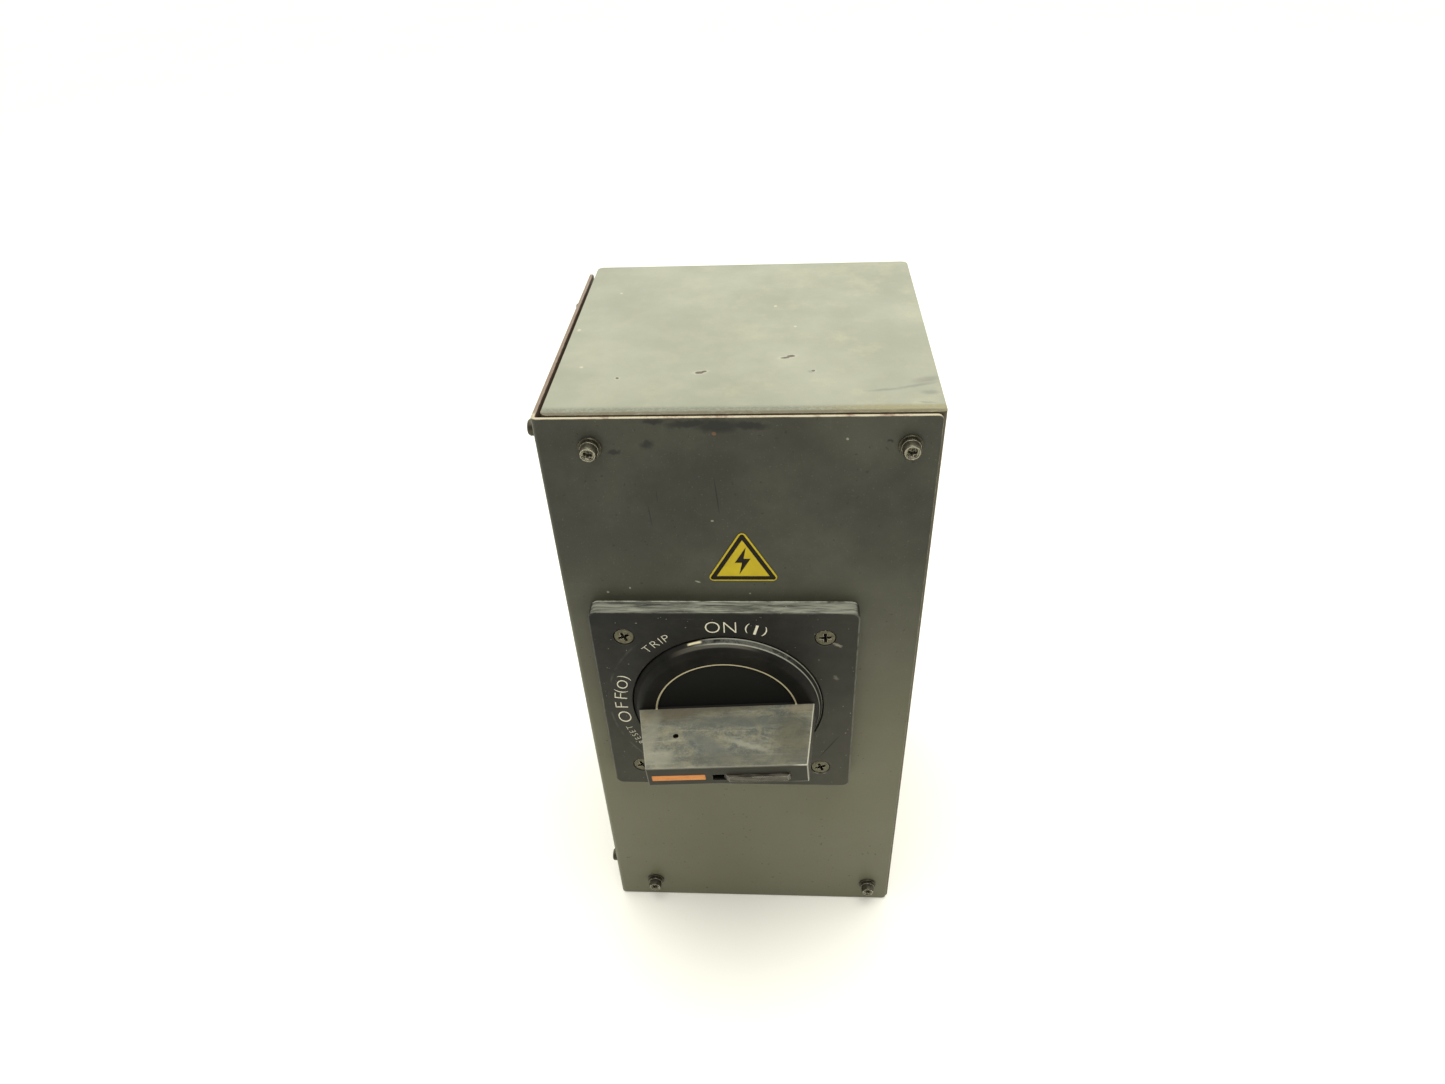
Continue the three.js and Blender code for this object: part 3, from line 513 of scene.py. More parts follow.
    def sector(self, middle, half, soft):
        """1 towards `middle` degrees round the object's Y axis, fading out beyond `half` degrees."""
        x, _, z = around(1, math.radians(middle))
        ahead = self.calc("ADD", self.all_of(self.axis("X"), x), self.all_of(self.axis("Z"), z))
        lined_up = self.calc("DIVIDE", ahead, self.reach())
        return self.level(lined_up, math.cos(math.radians(half + soft)), math.cos(math.radians(half)))

    def bump(self, height, strength, distance):
        node = self.node("Bump", height=height, strength=strength, distance=distance)
        self.link(node.outputs[0], self.sockets["Normal"])

    def done(self, roughness=None):
        self.link(self.colour, self.sockets["Base Color"])
        if roughness is not None:
            self.link(roughness, self.sockets["Roughness"])
        return self.material


# ---- colours

# Painted shade for the top of the front, and painted floor bounce light for its lower part.
SHADED_PAINT = (0.040, 0.041, 0.031)
LIT_PAINT = (0.150, 0.148, 0.092)
DUSTY_PAINT = (0.190, 0.190, 0.140)
TOP_DUST = (0.266, 0.274, 0.205)
MOTTLED_DUST = (0.34, 0.33, 0.225)
YELLOW_DUST = (0.46, 0.43, 0.30)
PALE_DUST = (0.42, 0.40, 0.30)
STAIN = (0.10, 0.10, 0.09)
FOLD_PAINT = (0.112, 0.116, 0.080)
FOLD_YELLOW = (0.27, 0.22, 0.07)
BARE_EDGE = (0.40, 0.35, 0.24)
BROWN_EDGE = (0.20, 0.12, 0.08)
REDDISH_EDGE = (0.10, 0.065, 0.050)
PRIMER = (0.15, 0.100, 0.070)
RUST = (0.050, 0.036, 0.026)
FRESH_RUST = (0.20, 0.10, 0.05)
LIP_RUST = (0.085, 0.070, 0.036)
SOOT = (0.018, 0.018, 0.016)
GRIME = (0.006, 0.006, 0.005)
# A worn arris and painted highlight, for the dish's lip and a patch on the rim's top.
CREAM_RUB_AND_HIGHLIGHT = (0.74, 0.66, 0.42)

BLACK = (0.007, 0.007, 0.006)
RUBBED_BLACK = (0.016, 0.015, 0.012)
DISH_BLACK = (0.016, 0.016, 0.015)
PLATE_LIT_LOW_DOWN = (0.051, 0.049, 0.034)
BAR_GREY = (0.061, 0.059, 0.047)
STREAK = (0.20, 0.20, 0.17)
DARK_HAZE = (0.060, 0.064, 0.052)
PALE_HAZE = (0.31, 0.315, 0.25)
PAINTED_GLINT = (0.62, 0.61, 0.50)
PLATE_EDGE = (0.15, 0.15, 0.125)
PLATE_RING = (0.16, 0.16, 0.13)
# Wear and painted highlights for the disc's rim, where the light falls on its top and right.
SHOULDER_RUB_AND_HIGHLIGHT = (0.20, 0.19, 0.145)
CHAMFER_RUB = (0.24, 0.245, 0.205)
ARRIS_RUB_AND_HIGHLIGHT = (0.45, 0.45, 0.37)
BAR_EDGE = (0.46, 0.45, 0.36)


def times(colour, factor):
    return tuple(min(1, c * factor) for c in colour)


# ---- materials


def stove_enamel(name, roughness):
    """Olive-grey paint, its front painted darker up top (painted shade) and paler low down (painted bounce
    light from the floor): fine orange peel and dust in broad clouds.
    """
    paint = Paint(name, roughness, specular=0.26)
    # Painted light: the front runs from painted shade at the top to painted bounce light low down; other
    # faces take the tone halfway between.
    height = paint.along("Z", COVER_HI.z - 38 * MM, COVER_LO.z + 115 * MM)
    in_front = paint.facing("Y", -0.4, -0.8)
    elsewhere = paint.facing("Y", -0.8, -0.4, 0, 0.5)
    paint.base(paint.any_of(paint.all_of(in_front, height), elsewhere), SHADED_PAINT, LIT_PAINT)
    paint.coat(DUSTY_PAINT, paint.clouds(60, 5, 0.6, 0.35, 0.75), 0.25)
    paint.coat(PALE_DUST, paint.clouds(0.9, 2, 0.5, 0.62, 0.78, shift=3), 0.10)
    paint.bump(paint.noise(0.7, 3, 0.5, shift=9), 0.10, 0.12 * MM)
    return paint


def cover_paint():
    """The cover: bare and primed where its cut edges are worn, with smudges and scratches on the front."""
    paint = stove_enamel("cover_paint", 0.42)
    corner = (COVER_LO.x, 0)
    smudges = [((48, 332.4), (4.2, 1.1), 0), ((62, 331.4), (8.5, 1.5), 0.1), ((73, 330.2), (8, 2.8), 0),
               ((85, 330.4), (7, 1.7), -0.08), ((31.6, 318.6), (2.6, 1.1), 0.1),
               ((45, 322), (2.6, 1.8), 0.3), ((140, 323), (1.2, 0.8), 0)]
    scratches = [((71.4, 297.3), (0.25, 8.2), 0.08), ((43.1, 287.2), (0.2, 5), 0.08),
                 ((46.8, 297), (0.15, 2.6), 0)]
    pale = [((68.9, 284.4), (0.6, 0.5), 0), ((20.3, 244.8), (0.5, 0.5), 0), ((30.5, 247.2), (0.4, 0.5), 0),
            ((83.8, 244.1), (0.4, 0.4), 0), ((123.4, 323.9), (0.5, 0.5), 0), ((61, 251), (1.2, 0.4), -0.4)]
    rusty = [((71.7, 326.7), (0.9, 0.7), 0), ((137.4, 151), (0.6, 0.6), 0)]
    paint.coat(SOOT, paint.any_of(
        paint.all_of(paint.dabs(smudges, 1.0, 3.0, corner), 0.85),
        paint.all_of(paint.dabs(scratches, 0.8, 0, corner), 0.85),
        paint.all_of(paint.clouds(2.2, 1, 0.4, 0.755, 0.78, shift=5), 0.4)))
    paint.coat(PALE_DUST, paint.dabs(pale, 0.8, 0.6, corner), 0.7)
    paint.coat(FRESH_RUST, paint.dabs(rusty, 0.8, 0.8, corner), 0.8)
    facing_right = paint.facing("X", 0.45, 0.8)
    at_the_back = paint.along("Y", COVER_HI.y - 1 * MM, COVER_HI.y - 0.5 * MM)
    facing_back = paint.all_of(paint.facing("Y", 0.6, 0.9), at_the_back)
    cut_edge = paint.any_of(paint.facing("Z", 0.45, 0.8), facing_right, facing_back)
    along_flange = paint.along("Y", FRONT + 3 * MM, FRONT + 6 * MM)
    browned = paint.clouds(12, 5, 0.7, 0.48, 0.66, shift=2)
    bare = paint.over(paint.mix(browned, BARE_EDGE, BROWN_EDGE), (REDDISH_EDGE, facing_right, 0.7),
                      (PRIMER, along_flange, 0.9))
    paint.coat(bare, cut_edge, 0.92)
    paint.coat(PALE_DUST, paint.worn(0.5, 5, 0.42, 0.66, 8), 0.35)
    return paint.done(paint.clouds(30, 4, 0.6, 0.2, 0.8, 0.38, 0.52, shift=6))


def body_paint():
    """The box: dusty on top, with chips, a crease and a rusty fold along the top's front."""
    paint = stove_enamel("body_paint", 0.5)
    facing_up = paint.facing("Z", 0.7, 0.95)
    dust = paint.clouds(35, 6, 0.6, 0.3, 0.75, 0.72, 1.0, shift=12)
    paint.coat(TOP_DUST, facing_up, dust, paint.along("Y", FRONT, FRONT + 80 * MM, 0.86, 1.0))

    def on_top(places, grow, soft, ragged):
        return paint.all_of(paint.dabs(places, soft, ragged, (COVER_LO.x, FRONT), "Z", grow), facing_up)

    chips = [((64, 35.6), (1.9, 1.1), 0.1), ((65.8, 36.6), (1.4, 0.8), 0.3), ((99.4, 48.0), (2.0, 0.8), 0.1),
             ((102, 49.2), (1.6, 0.9), 0.2), ((30.1, 31.6), (0.7, 0.7), 0), ((111, 36), (0.8, 0.6), 0)]
    pale = [((6.1, 77.7), (0.8, 1.2), 0), ((13.3, 41.8), (0.8, 0.7), 0), ((20, 118), (0.6, 0.8), 0),
            ((95, 100), (0.7, 0.9), 0), ((104, 78), (0.6, 0.8), 0)]
    stains = [((110, 35.5), (1.2, 0.9), 0), ((139, 19.4), (6, 0.8), 0.12), ((151, 22.5), (9, 0.9), 0.3),
              ((156, 27.5), (5, 2.0), 0.3), ((154, 9.2), (3.0, 0.6), -0.1), ((156, 17), (3, 1.5), 0)]
    paint.coat(PALE_DUST, on_top(chips, 1.5, 1.0, 1.2), 0.4)
    paint.coat(RUST, on_top(chips, 1.0, 0.5, 1.4), 0.9)
    paint.coat(YELLOW_DUST, on_top(pale, 1.0, 1.0, 1.0), 0.6)
    mottle = paint.clouds(16, 7, 0.75, 0.46, 0.74, shift=29)
    rightwards = paint.along("X", -50 * MM, 40 * MM, 0.15, 0.42)
    paint.coat(MOTTLED_DUST, mottle, rightwards, facing_up)
    paint.coat(STAIN, on_top(stains, 1.0, 1.4, 1.2), 0.42)
    grain = paint.clouds(1.6, 6, 0.75, 0.36, 0.6, 0.4, 1.0, stretch=(1, 1.6, 1), shift=4)
    fold = paint.all_of(facing_up, paint.along("Y", BODY_LO.y + 7 * MM, BODY_LO.y + 4 * MM), grain)
    paint.coat(FOLD_PAINT, fold, 0.9)
    paint.coat(FOLD_YELLOW, paint.along("X", 20 * MM, 60 * MM), fold, 0.5)
    lip = paint.along("Y", BODY_LO.y + 3 * MM, BODY_LO.y + 1.5 * MM)
    rusted = paint.clouds(5, 6, 0.75, 0.32, 0.54, 0.45, 1.0, stretch=(1, 2, 2), shift=4)
    paint.coat(LIP_RUST, lip, rusted, 0.9)
    paint.coat(PALE_DUST, paint.worn(0.7, 6, 0.45, 0.7, 8), 0.4)
    return paint.done(paint.clouds(25, 4, 0.6, 0.2, 0.8, 0.45, 0.6, shift=6))


def black_moulding(name, specular):
    """Near-black plastic with faint scuffs."""
    paint = Paint(name, 0.42, specular=specular)
    paint.base(paint.clouds(14, 5, 0.65, 0.3, 0.75, shift=1), BLACK, RUBBED_BLACK)
    paint.coat(STREAK, paint.clouds(6, 6, 0.7, 0.6, 0.85, stretch=(0.35, 3, 3), shift=17), 0.12)
    return paint


def moulding_done(paint):
    """Grime in whatever is cut deep, and a fine grain."""
    paint.coat(GRIME, paint.marked("deep"), 0.9)
    paint.bump(paint.noise(0.5, 3, 0.5), 0.08, 0.1 * MM)
    return paint.done(paint.clouds(8, 5, 0.6, 0.2, 0.8, 0.40, 0.58, shift=6))


def plate_plastic():
    """The square plate: painted lighter low down as painted bounce light, worn grey-white along its top side
    with a painted glint at the far edge, and one scratch on the face.
    """
    paint = black_moulding("plate_plastic", 0.2)
    # Painted light: the plate's face grows lighter towards the bottom, as painted floor bounce light.
    paint.coat(PLATE_LIT_LOW_DOWN, paint.along("Z", PLATE.half, -PLATE.half), 0.75)
    paint.coat(PALE_DUST, paint.along("X", 10 * MM, PLATE.half, 0, 0.04))
    top_side = paint.all_of(
        paint.facing("Z", 0.55, 0.9), paint.along("Z", PLATE.half - 2 * MM, PLATE.half - 1 * MM))
    streaks = paint.clouds(9, 7, 0.72, 0.36, 0.62, stretch=(0.45, 5, 3), shift=14, distortion=0.5)
    paint.coat(paint.mix(streaks, DARK_HAZE, PALE_HAZE), top_side, 0.95)
    # Painted highlight: a whitish glint in patches along the far edge of the top side.
    far_edge = paint.along("Y", PLATE.back - 0.9 * MM, PLATE.back - 0.5 * MM)
    paint.coat(PAINTED_GLINT, top_side, far_edge, paint.clouds(14, 5, 0.7, 0.42, 0.6, shift=3), 0.8)
    to_the_right = paint.along("X", PLATE.half - 14 * MM, PLATE.half - 1 * MM, 0.35, 0.8)
    paint.coat(PLATE_EDGE, paint.worn(0.5, 6), to_the_right)
    ring = paint.band(paint.reach(), 57.2 * MM, 0.25 * MM, 0.5 * MM)
    scuffs = paint.clouds(10, 5, 0.7, 0.42, 0.62, shift=27)
    paint.coat(PLATE_RING, ring, scuffs, paint.sector(192, 40, 25), 0.25)
    paint.colour = paint.patches(paint.colour, [
        ((50.0, 42.0), (1.8, 0.5), -0.7, PALE_DUST, 0.5), ((51.6, 40.6), (1.6, 0.4), -0.3, PALE_DUST, 0.45),
        ((45.3, -49.8), (3.0, 0.5), 0.05, PALE_DUST, 0.45), ((51, 20), (1.2, 1.2), 0, PALE_DUST, 0.25)])
    scratch = ((49.3, -29.5), (0.3, 8.8), -0.52)
    paint.coat(GRIME, paint.dabs([scratch], 0.9, 0, (0, 0)), 0.8)
    paint.coat(PALE_DUST, paint.clouds(1.6, 1, 0.4, 0.76, 0.79, shift=31), 0.4)
    return moulding_done(paint)


def handle_plastic():
    """The disc and bar: rings round the disc, worn and partly painted as highlights where the light catches
    them, and a mottled haze on top of the bar.
    """
    paint = black_moulding("handle_plastic", 0.1)
    depth, reach = paint.axis("Y"), paint.reach()
    face, dish = DISC.face, DISC.dish
    on_disc = paint.level(depth, face - 0.5 * MM, face - 0.2 * MM)
    below_face = paint.level(depth, face + 0.15 * MM, face + 0.4 * MM)
    paint.coat(DISH_BLACK, below_face, paint.level(reach, dish + 0.2 * MM, dish))
    # Pale ring on the dish's lip: a worn arris and a painted highlight where its fillet catches the light.
    paint.coat(CREAM_RUB_AND_HIGHLIGHT, on_disc, paint.band(reach, dish + 0.35 * MM, 0.36 * MM, 0.2 * MM), 0.9)
    # The shoulder's top: rubbed, and a painted highlight where the light falls on it.
    shoulder = paint.band(depth, -10.9 * MM, 0.7 * MM, 0.6 * MM)
    paint.coat(SHOULDER_RUB_AND_HIGHLIGHT, shoulder, paint.sector(92, 12, 18), paint.level(reach, 41 * MM, 42 * MM), 0.35)
    ragged = paint.clouds(5, 6, 0.7, 0.36, 0.58, shift=23)
    chamfer = paint.band(depth, -9.25 * MM, 1.0 * MM, 0.2 * MM)
    paint.coat(CHAMFER_RUB, chamfer, paint.sector(74, 24, 14), ragged, 0.35)
    # Arrises round the right and the top: worn, and painted highlights along them.
    arrises = paint.any_of(*[paint.band(depth, y * MM, 0.2 * MM, 0.15 * MM) for y in (-8.2, -10.3)])
    rim = paint.level(reach, 42 * MM, 43 * MM)
    paint.coat(ARRIS_RUB_AND_HIGHLIGHT, arrises, rim, paint.sector(28, 62, 14), 0.6)
    # A cream patch on the rim's top: wear and a painted highlight.
    patch = paint.band(depth, -8.9 * MM, 0.3 * MM, 0.25 * MM)
    paint.coat(CREAM_RUB_AND_HIGHLIGHT, patch, paint.sector(103.5, 3.0, 2), rim)
    on_bar = paint.level(depth, face - 0.1 * MM, face - 0.4 * MM)
    paint.coat(BAR_GREY, on_bar, 0.85)
    paint.coat(bar_haze(paint), on_bar, paint.facing("Z", 0.8, 0.97), 0.97)
    to_the_right = paint.along("X", 30 * MM, 36 * MM, 0.22, 0.8)
    paint.coat(BAR_EDGE, on_bar, paint.worn(0.6, 6, 0.15, 0.4), to_the_right)
    return moulding_done(paint)


def bar_haze(paint):
    """What years of hands left on top of the bar: olive and bluish clouds, brown near the disc."""
    bluish, olive, brown = (0.092, 0.099, 0.086), (0.205, 0.194, 0.132), (0.105, 0.092, 0.062)
    clouds = paint.clouds(13, 6, 0.68, 0.38, 0.62, stretch=(1, 1.3, 1), shift=14, distortion=0.8)
    fine = paint.clouds(2.4, 6, 0.7, 0.45, 0.75, shift=19)
    wiped = paint.clouds(5, 6, 0.7, 0.5, 0.72, stretch=(0.22, 2.2, 1), shift=33, turn=-0.55)
    dulled = paint.clouds(7, 6, 0.7, 0.5, 0.72, stretch=(0.3, 1.6, 1), shift=41, turn=-0.5)
    grit = paint.clouds(0.9, 4, 0.7, 0.5, 0.7, shift=52)
    pits = paint.clouds(1.1, 4, 0.7, 0.52, 0.72, shift=61)
    haze = paint.over(
        paint.mix(clouds, bluish, olive),
        ((0.27, 0.265, 0.205), fine, 0.3),
        ((0.31, 0.305, 0.235), wiped, 0.6),
        ((0.080, 0.084, 0.072), dulled, 0.65),
        ((0.33, 0.32, 0.25), grit, 0.3),
        ((0.07, 0.07, 0.055), pits, 0.35))
    return paint.patches(haze, [
        ((-26, -17.5), (13, 4.5), 0, brown, 0.85),
        ((-8, -15), (24, 2.2), 0, (0.135, 0.120, 0.082), 0.6),
        ((6, -23), (26, 3.6), -0.03, (0.105, 0.110, 0.094), 0.75),
        ((-35, -33), (3.6, 16), -0.12, (0.23, 0.225, 0.170), 0.7),
        ((32, -34), (9, 14), 0.06, (0.085, 0.082, 0.057), 0.75),
        ((-6.5, -37), (12, 4.5), -0.6, (0.095, 0.103, 0.094), 0.7),
        ((11, -37), (10, 1.6), -0.4, (0.27, 0.265, 0.20), 0.75),
        ((-28, -43), (6, 4.5), 0, (0.27, 0.265, 0.20), 0.65),
        ((10, -45), (30, 4.5), 0, (0.098, 0.097, 0.075), 0.6),
        ((35, -16), (7, 2.2), 0.05, (0.24, 0.215, 0.14), 0.7),
    ], "Z")


def dull_zinc(name, colour, roughness=0.42):
    """Yellowed zinc plating, with grime packed into whatever is cut deep."""
    brown, bright = (0.085, 0.05, 0.025), (0.72, 0.68, 0.52)
    paint = Paint(name, roughness, metallic=0.7)
    paint.base(paint.clouds(1.6, 5, 0.7, 0.3, 0.75), colour, times(colour, 0.35))
    paint.coat(brown, paint.clouds(2.3, 4, 0.7, 0.58, 0.72, shift=7), 0.6)
    paint.coat(bright, paint.worn(0.25, 1.5, 0.2, 0.5), 0.9)
    deep = paint.marked("deep")
    paint.coat(GRIME, deep, 0.92)
    paint.bump(paint.noise(0.35, 3, 0.6), 0.25, 0.08 * MM)
    rough = paint.clouds(1.1, 3, 0.6, 0.2, 0.8, roughness - 0.08, roughness + 0.15, shift=2)
    return paint.done(paint.any_of(rough, paint.all_of(deep, 0.9)))


def brushed_metal(name, colour, roughness, stretch=(1, 12, 12)):
    """Bare metal with a grain and some tarnish."""
    paint = Paint(name, roughness, metallic=1.0)
    grain = paint.noise(1.2, 4, 0.6, stretch)
    paint.base(grain, times(colour, 0.72), colour)
    paint.coat(times(colour, 0.4), paint.clouds(12, 4, 0.6, 0.45, 0.8, shift=4), 0.3)
    paint.bump(grain, 0.12, 0.08 * MM)
    return paint.done(paint.level(grain, 0.3, 0.7, roughness - 0.06, roughness + 0.1))


def moulded(name, colour, roughness, dust=0.1):
    """Moulded plastic or rubber under a little powdery dust."""
    powdery = (0.45, 0.43, 0.36)
    paint = Paint(name, roughness)
    clouds = paint.clouds(10, 4, 0.6, 0.3, 0.75)
    paint.base(clouds, times(colour, 0.8), times(colour, 1.12))
    paint.coat(powdery, paint.clouds(3, 5, 0.7, 0.5, 0.8, shift=3), dust)
    paint.bump(paint.noise(0.4, 2, 0.5), 0.1, 0.1 * MM)
    return paint.done(paint.level(clouds, 0, 1, roughness - 0.06, roughness + 0.08))


def lock_steel():
    """Dark burnished steel with a pale worn outline."""
    dark, brown, bright = (0.030, 0.026, 0.020), (0.115, 0.104, 0.078), (0.62, 0.60, 0.50)
    paint = Paint("lock_steel", 0.4, metallic=0.5)
    grain = paint.clouds(3, 6, 0.7, 0.3, 0.7, stretch=(0.4, 2, 3))
    paint.base(grain, dark, brown)
    paint.coat(bright, paint.worn(0.4, 8, 0.35, 0.6), 0.8)
    return paint.done(paint.level(grain, 0, 1, 0.35, 0.5))


def faded_orange():
    deep, faded, grime = (0.66, 0.20, 0.027), (0.745, 0.285, 0.054), (0.25, 0.12, 0.06)
    paint = Paint("faded_orange", 0.5)
    paint.base(paint.clouds(4, 5, 0.65, 0.3, 0.7, stretch=(0.5, 1, 2)), deep, faded)
    paint.coat(grime, paint.clouds(1.2, 4, 0.7, 0.62, 0.8, shift=2), 0.3)
    return paint.done()


def label_film():
    deep, yellow, dirt = (0.57, 0.425, 0.002), (0.645, 0.50, 0.003), (0.36, 0.27, 0.03)
    paint = Paint("label_film", 0.4, specular=0.3)
    paint.base(paint.clouds(8, 4, 0.6, 0.3, 0.75), deep, yellow)
    paint.coat(dirt, paint.clouds(1.5, 5, 0.7, 0.55, 0.78, shift=5), 0.35)
    return paint.done()


def ink(name, colour, wear, lo=0.5, hi=0.75, strength=0.6):
    """Printed or filled-in lettering, rubbed thin in places."""
    paint = Paint(name, 0.6, specular=0.15)
    paint.colour = colour
    paint.coat(wear, paint.clouds(1.1, 5, 0.7, lo, hi), strength)
    return paint.done()


# ---- the handle and its plate


def handle_plate():
    """A square plate with a round recess for the disc, four sunk screws and a pocket for the gasket."""
    outline = rounded(rectangle(-PLATE.half, PLATE.half, -PLATE.half, PLATE.half), PLATE.corner, 8)
    plate = prism("handle_plate_look", outline, PLATE.face, PLATE.back)

    def on_the_face(run):
        return all(v.co.y < PLATE.face + 0.1 * MM for e in run for v in e.verts)

    rounded_edges(plate, 0.7 * MM, 4, 50, on_the_face)
    plate.modifiers.clear()
    pocket = (-PLATE.pocket, PLATE.pocket)
    cuts = [rod_tool(PLATE.recess, PLATE.face - MM, PLATE.floor, sides=160),
            rod_tool(PLATE.shaft_hole, PLATE.face, MM),
            box_tool(pocket, (-PLATE.pocket_depth, MM), pocket)]
    profile = [(0, PLATE.face - MM), (SINK.head, PLATE.face - MM), (SINK.head, PLATE.face + SINK.depth),
               (SINK.hole, PLATE.face + SINK.cone_end), (SINK.hole, MM), (0, MM)]
    for z in (PLATE.screw_pitch, -PLATE.screw_pitch):
        for x in (-PLATE.screw_pitch, PLATE.screw_pitch):
            cuts.append(transform(lathe("tool", profile, 48), at(x, 0, z)))
    boolean(plate, cuts)
    tidy(plate)
    rounded_edges(plate, 0.25 * MM, 2, 50)
    plate.matrix_world = ON_FRONT
    adopt(plate, "box", "handle_plate", plate_plastic())


def grip_bar():
    """The tapered bar, wider where it grows out of the disc."""
    root, half = GRIP.root, GRIP.half
    ends = [(-root, root, DISC.floor + 1 * MM), (-root, root, DISC.face + 0.5 * MM),
            (GRIP.left, GRIP.right, GRIP.front)]
    bar = loft("bar", [[(x, y, z) for x, z in rectangle(a, b, -half, half)] for a, b, y in ends])
    rounded_edges(bar, 0.5 * MM, 3, 40)
    bar.modifiers.clear()
    return bar


def disc_profile():
    """Half outline of the disc: straight side, chamfer, rounded shoulder, flat face and sunk dish."""
    radius, face, back, side = DISC.radius, DISC.face, DISC.back, DISC.side
    bevel, lip, start = 0.4 * MM, 0.3 * MM, 12.4
    shoulder = [
        (DISC.shoulder_middle + DISC.shoulder * math.cos(a), face + DISC.shoulder * (1 - math.sin(a)))
        for a in (math.radians(start + (90 - start) * i / 10) for i in range(11))]
    dish_edge = [(DISC.dish + lip * (1 - math.sin(a)), face + lip * (1 - math.cos(a)))
                 for a in (math.radians(22.5 * i) for i in range(5))]
    return [
        (0, DISC.boss_back), (DISC.boss, DISC.boss_back), (DISC.boss, back), (radius - bevel, back),
        (radius, back - bevel), (radius, side + 0.15 * MM), (radius - 0.08 * MM, side - 0.13 * MM),
        *shoulder, *dish_edge, (DISC.dish_foot, DISC.floor), (0, DISC.floor)]


def rotary_handle():
    """Disc and bar in one, with a slot for the lock plate, a strip recess, a pin hole and two hub holes."""
    disc = lathe("rotary_handle_look", disc_profile(), 160)
    boolean(disc, [grip_bar()], "UNION")
    front, behind = GRIP.front, DISC.back + MM
    heights = (SLOT.low, SLOT.high)
    pin_hole = rod_tool(PIN_HOLE.radius, -4.6 * MM, 7 * MM, sides=32)
    upright = at(PIN_HOLE.x, PIN_HOLE.y, 0) @ turned(90, "X")
    boolean(disc, [
        box_tool((SLOT.left, SLOT.right), (SLOT.front, behind), heights),
        box_tool((SLOT.mouth, SLOT.right), (front - MM, SLOT.front + MM), heights, 0.5 * MM),
        box_tool((STRIP.left, STRIP.right), (front - MM, front + STRIP.depth),
                 (STRIP.low, STRIP.high), 0.3 * MM),
        transform(pin_hole, upright),
        *[rod_tool(HUB_HOLE.radius, HUB_HOLE.end, behind, z=z) for z in (-HUB_HOLE.z, HUB_HOLE.z)],
    ], mark=DEEP)
    tidy(disc, 0.4)
    rounded_edges(disc, 0.12 * MM, 2, 55)
    disc.matrix_world = ON_HANDLE
    adopt(disc, "handle", "rotary_handle", handle_plastic())


def index_strip():
    adopt(from_node("index_strip", 0.2 * MM), "handle", "index_strip", faded_orange())


def lock_plate():
    adopt(from_node("lock_plate", 0.25 * MM), "lock", "lock_plate", lock_steel())


def lock_spring():
    """Round-wire compression spring between the grip and the lock plate, with a closed coil at each end."""
    low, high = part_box("lock_spring")
    middle, length = (low + high) / 2, high.y - low.y
    wire = 0.25 * MM
    radius = (high.x - low.x) / 2 - wire
    turns, steps, sides = 9, 24, 8
    free = length - 6 * wire
    rings = []
    for i in range(turns * steps + 1):
        wound = i / steps
        open_turns = min(max(wound - 1, 0), turns - 2)
        closed_turns = wound - open_turns
        y = low.y + wire + closed_turns * 2 * wire + free * open_turns / (turns - 2)
        ring = []
        for k in range(sides):
            out, _, forward = around(wire, math.tau * k / sides)
            x, _, z = around(radius + out, math.tau * wound)
            ring.append((middle.x + x, y + forward, middle.z + z))
        rings.append(ring)
    spring = smooth(loft("lock_spring_look", rings))
    adopt(spring, "handle", "lock_spring", brushed_metal("spring_wire", (0.56, 0.56, 0.55), 0.3, (1, 1, 1)))
    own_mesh(spring)


# ---- screws


def cross_recess(face, reach, depth, half):
    """A Phillips recess: two tapered slots, sunk from y = face."""
    tools = []
    for turn in (0, 90):
        wide = [(x, face - 0.3 * MM, z) for x, z in rectangle(-reach, reach, -half, half)]
        deep = [(x * 0.35, face + depth, z * 0.8) for x, _, z in wide]
        tools.append(transform(loft("tool", [wide, deep]), turned(turn, "Y")))
    return tools


def split_washer(inner, outer, y0, y1):
    """Spring washer: a flat ring with a slanting cut, its ends sprung apart."""
    steps, gap, lift = 40, math.radians(9), 0.25 * MM
    rings = []
    for t in (i / steps for i in range(steps + 1)):
        turn = gap / 2 + t * (math.tau - gap)
        corners = ((inner, y0), (outer, y0), (outer, y1), (inner, y1))
        rings.append([around(r, turn, y + (t - 0.5) * lift) for r, y in corners])
    return loft("washer", rings)


def washer_screw(name):
    """A dished pan head on a spring washer and a flat washer, its head sunk by a dark cross."""
    head, shank, hole = 3.6 * MM, 1.95 * MM, 2.1 * MM
    top, under, dish = -5.9 * MM, -2.5 * MM, -5.4 * MM
    flat_edge, flat_front, flat_back = 4.9 * MM, -1.0 * MM, -0.1 * MM
    chamfer = 0.2 * MM
    screw = lathe("screw", [
        (0, dish), (2.4 * MM, dish), (2.7 * MM, top), (3.0 * MM, top), (head, top + 0.8 * MM), (head, under),
        (shank, under), (shank, 7.6 * MM), (1.6 * MM, 8 * MM), (0, 8 * MM)], 48)
    boolean(screw, cross_recess(dish, 2.2 * MM, 1.9 * MM, 0.74 * MM), mark=DEEP)
    mark_faces(screw, WORN, lambda p: p.y < top + 0.9 * MM and math.hypot(p.x, p.z) > 2.45 * MM)
    flat = lathe("flat", [
        (hole, flat_front), (flat_edge - chamfer, flat_front), (flat_edge, flat_front + chamfer),
        (flat_edge, flat_back), (hole, flat_back)], 48)
    spring = split_washer(hole, 3.8 * MM, -2.35 * MM, -1.2 * MM)
    mark_faces(spring, WORN, lambda p: True)
    return rounded_edges(joined(name, [screw, flat, spring]), 0.12 * MM, 2, 50)


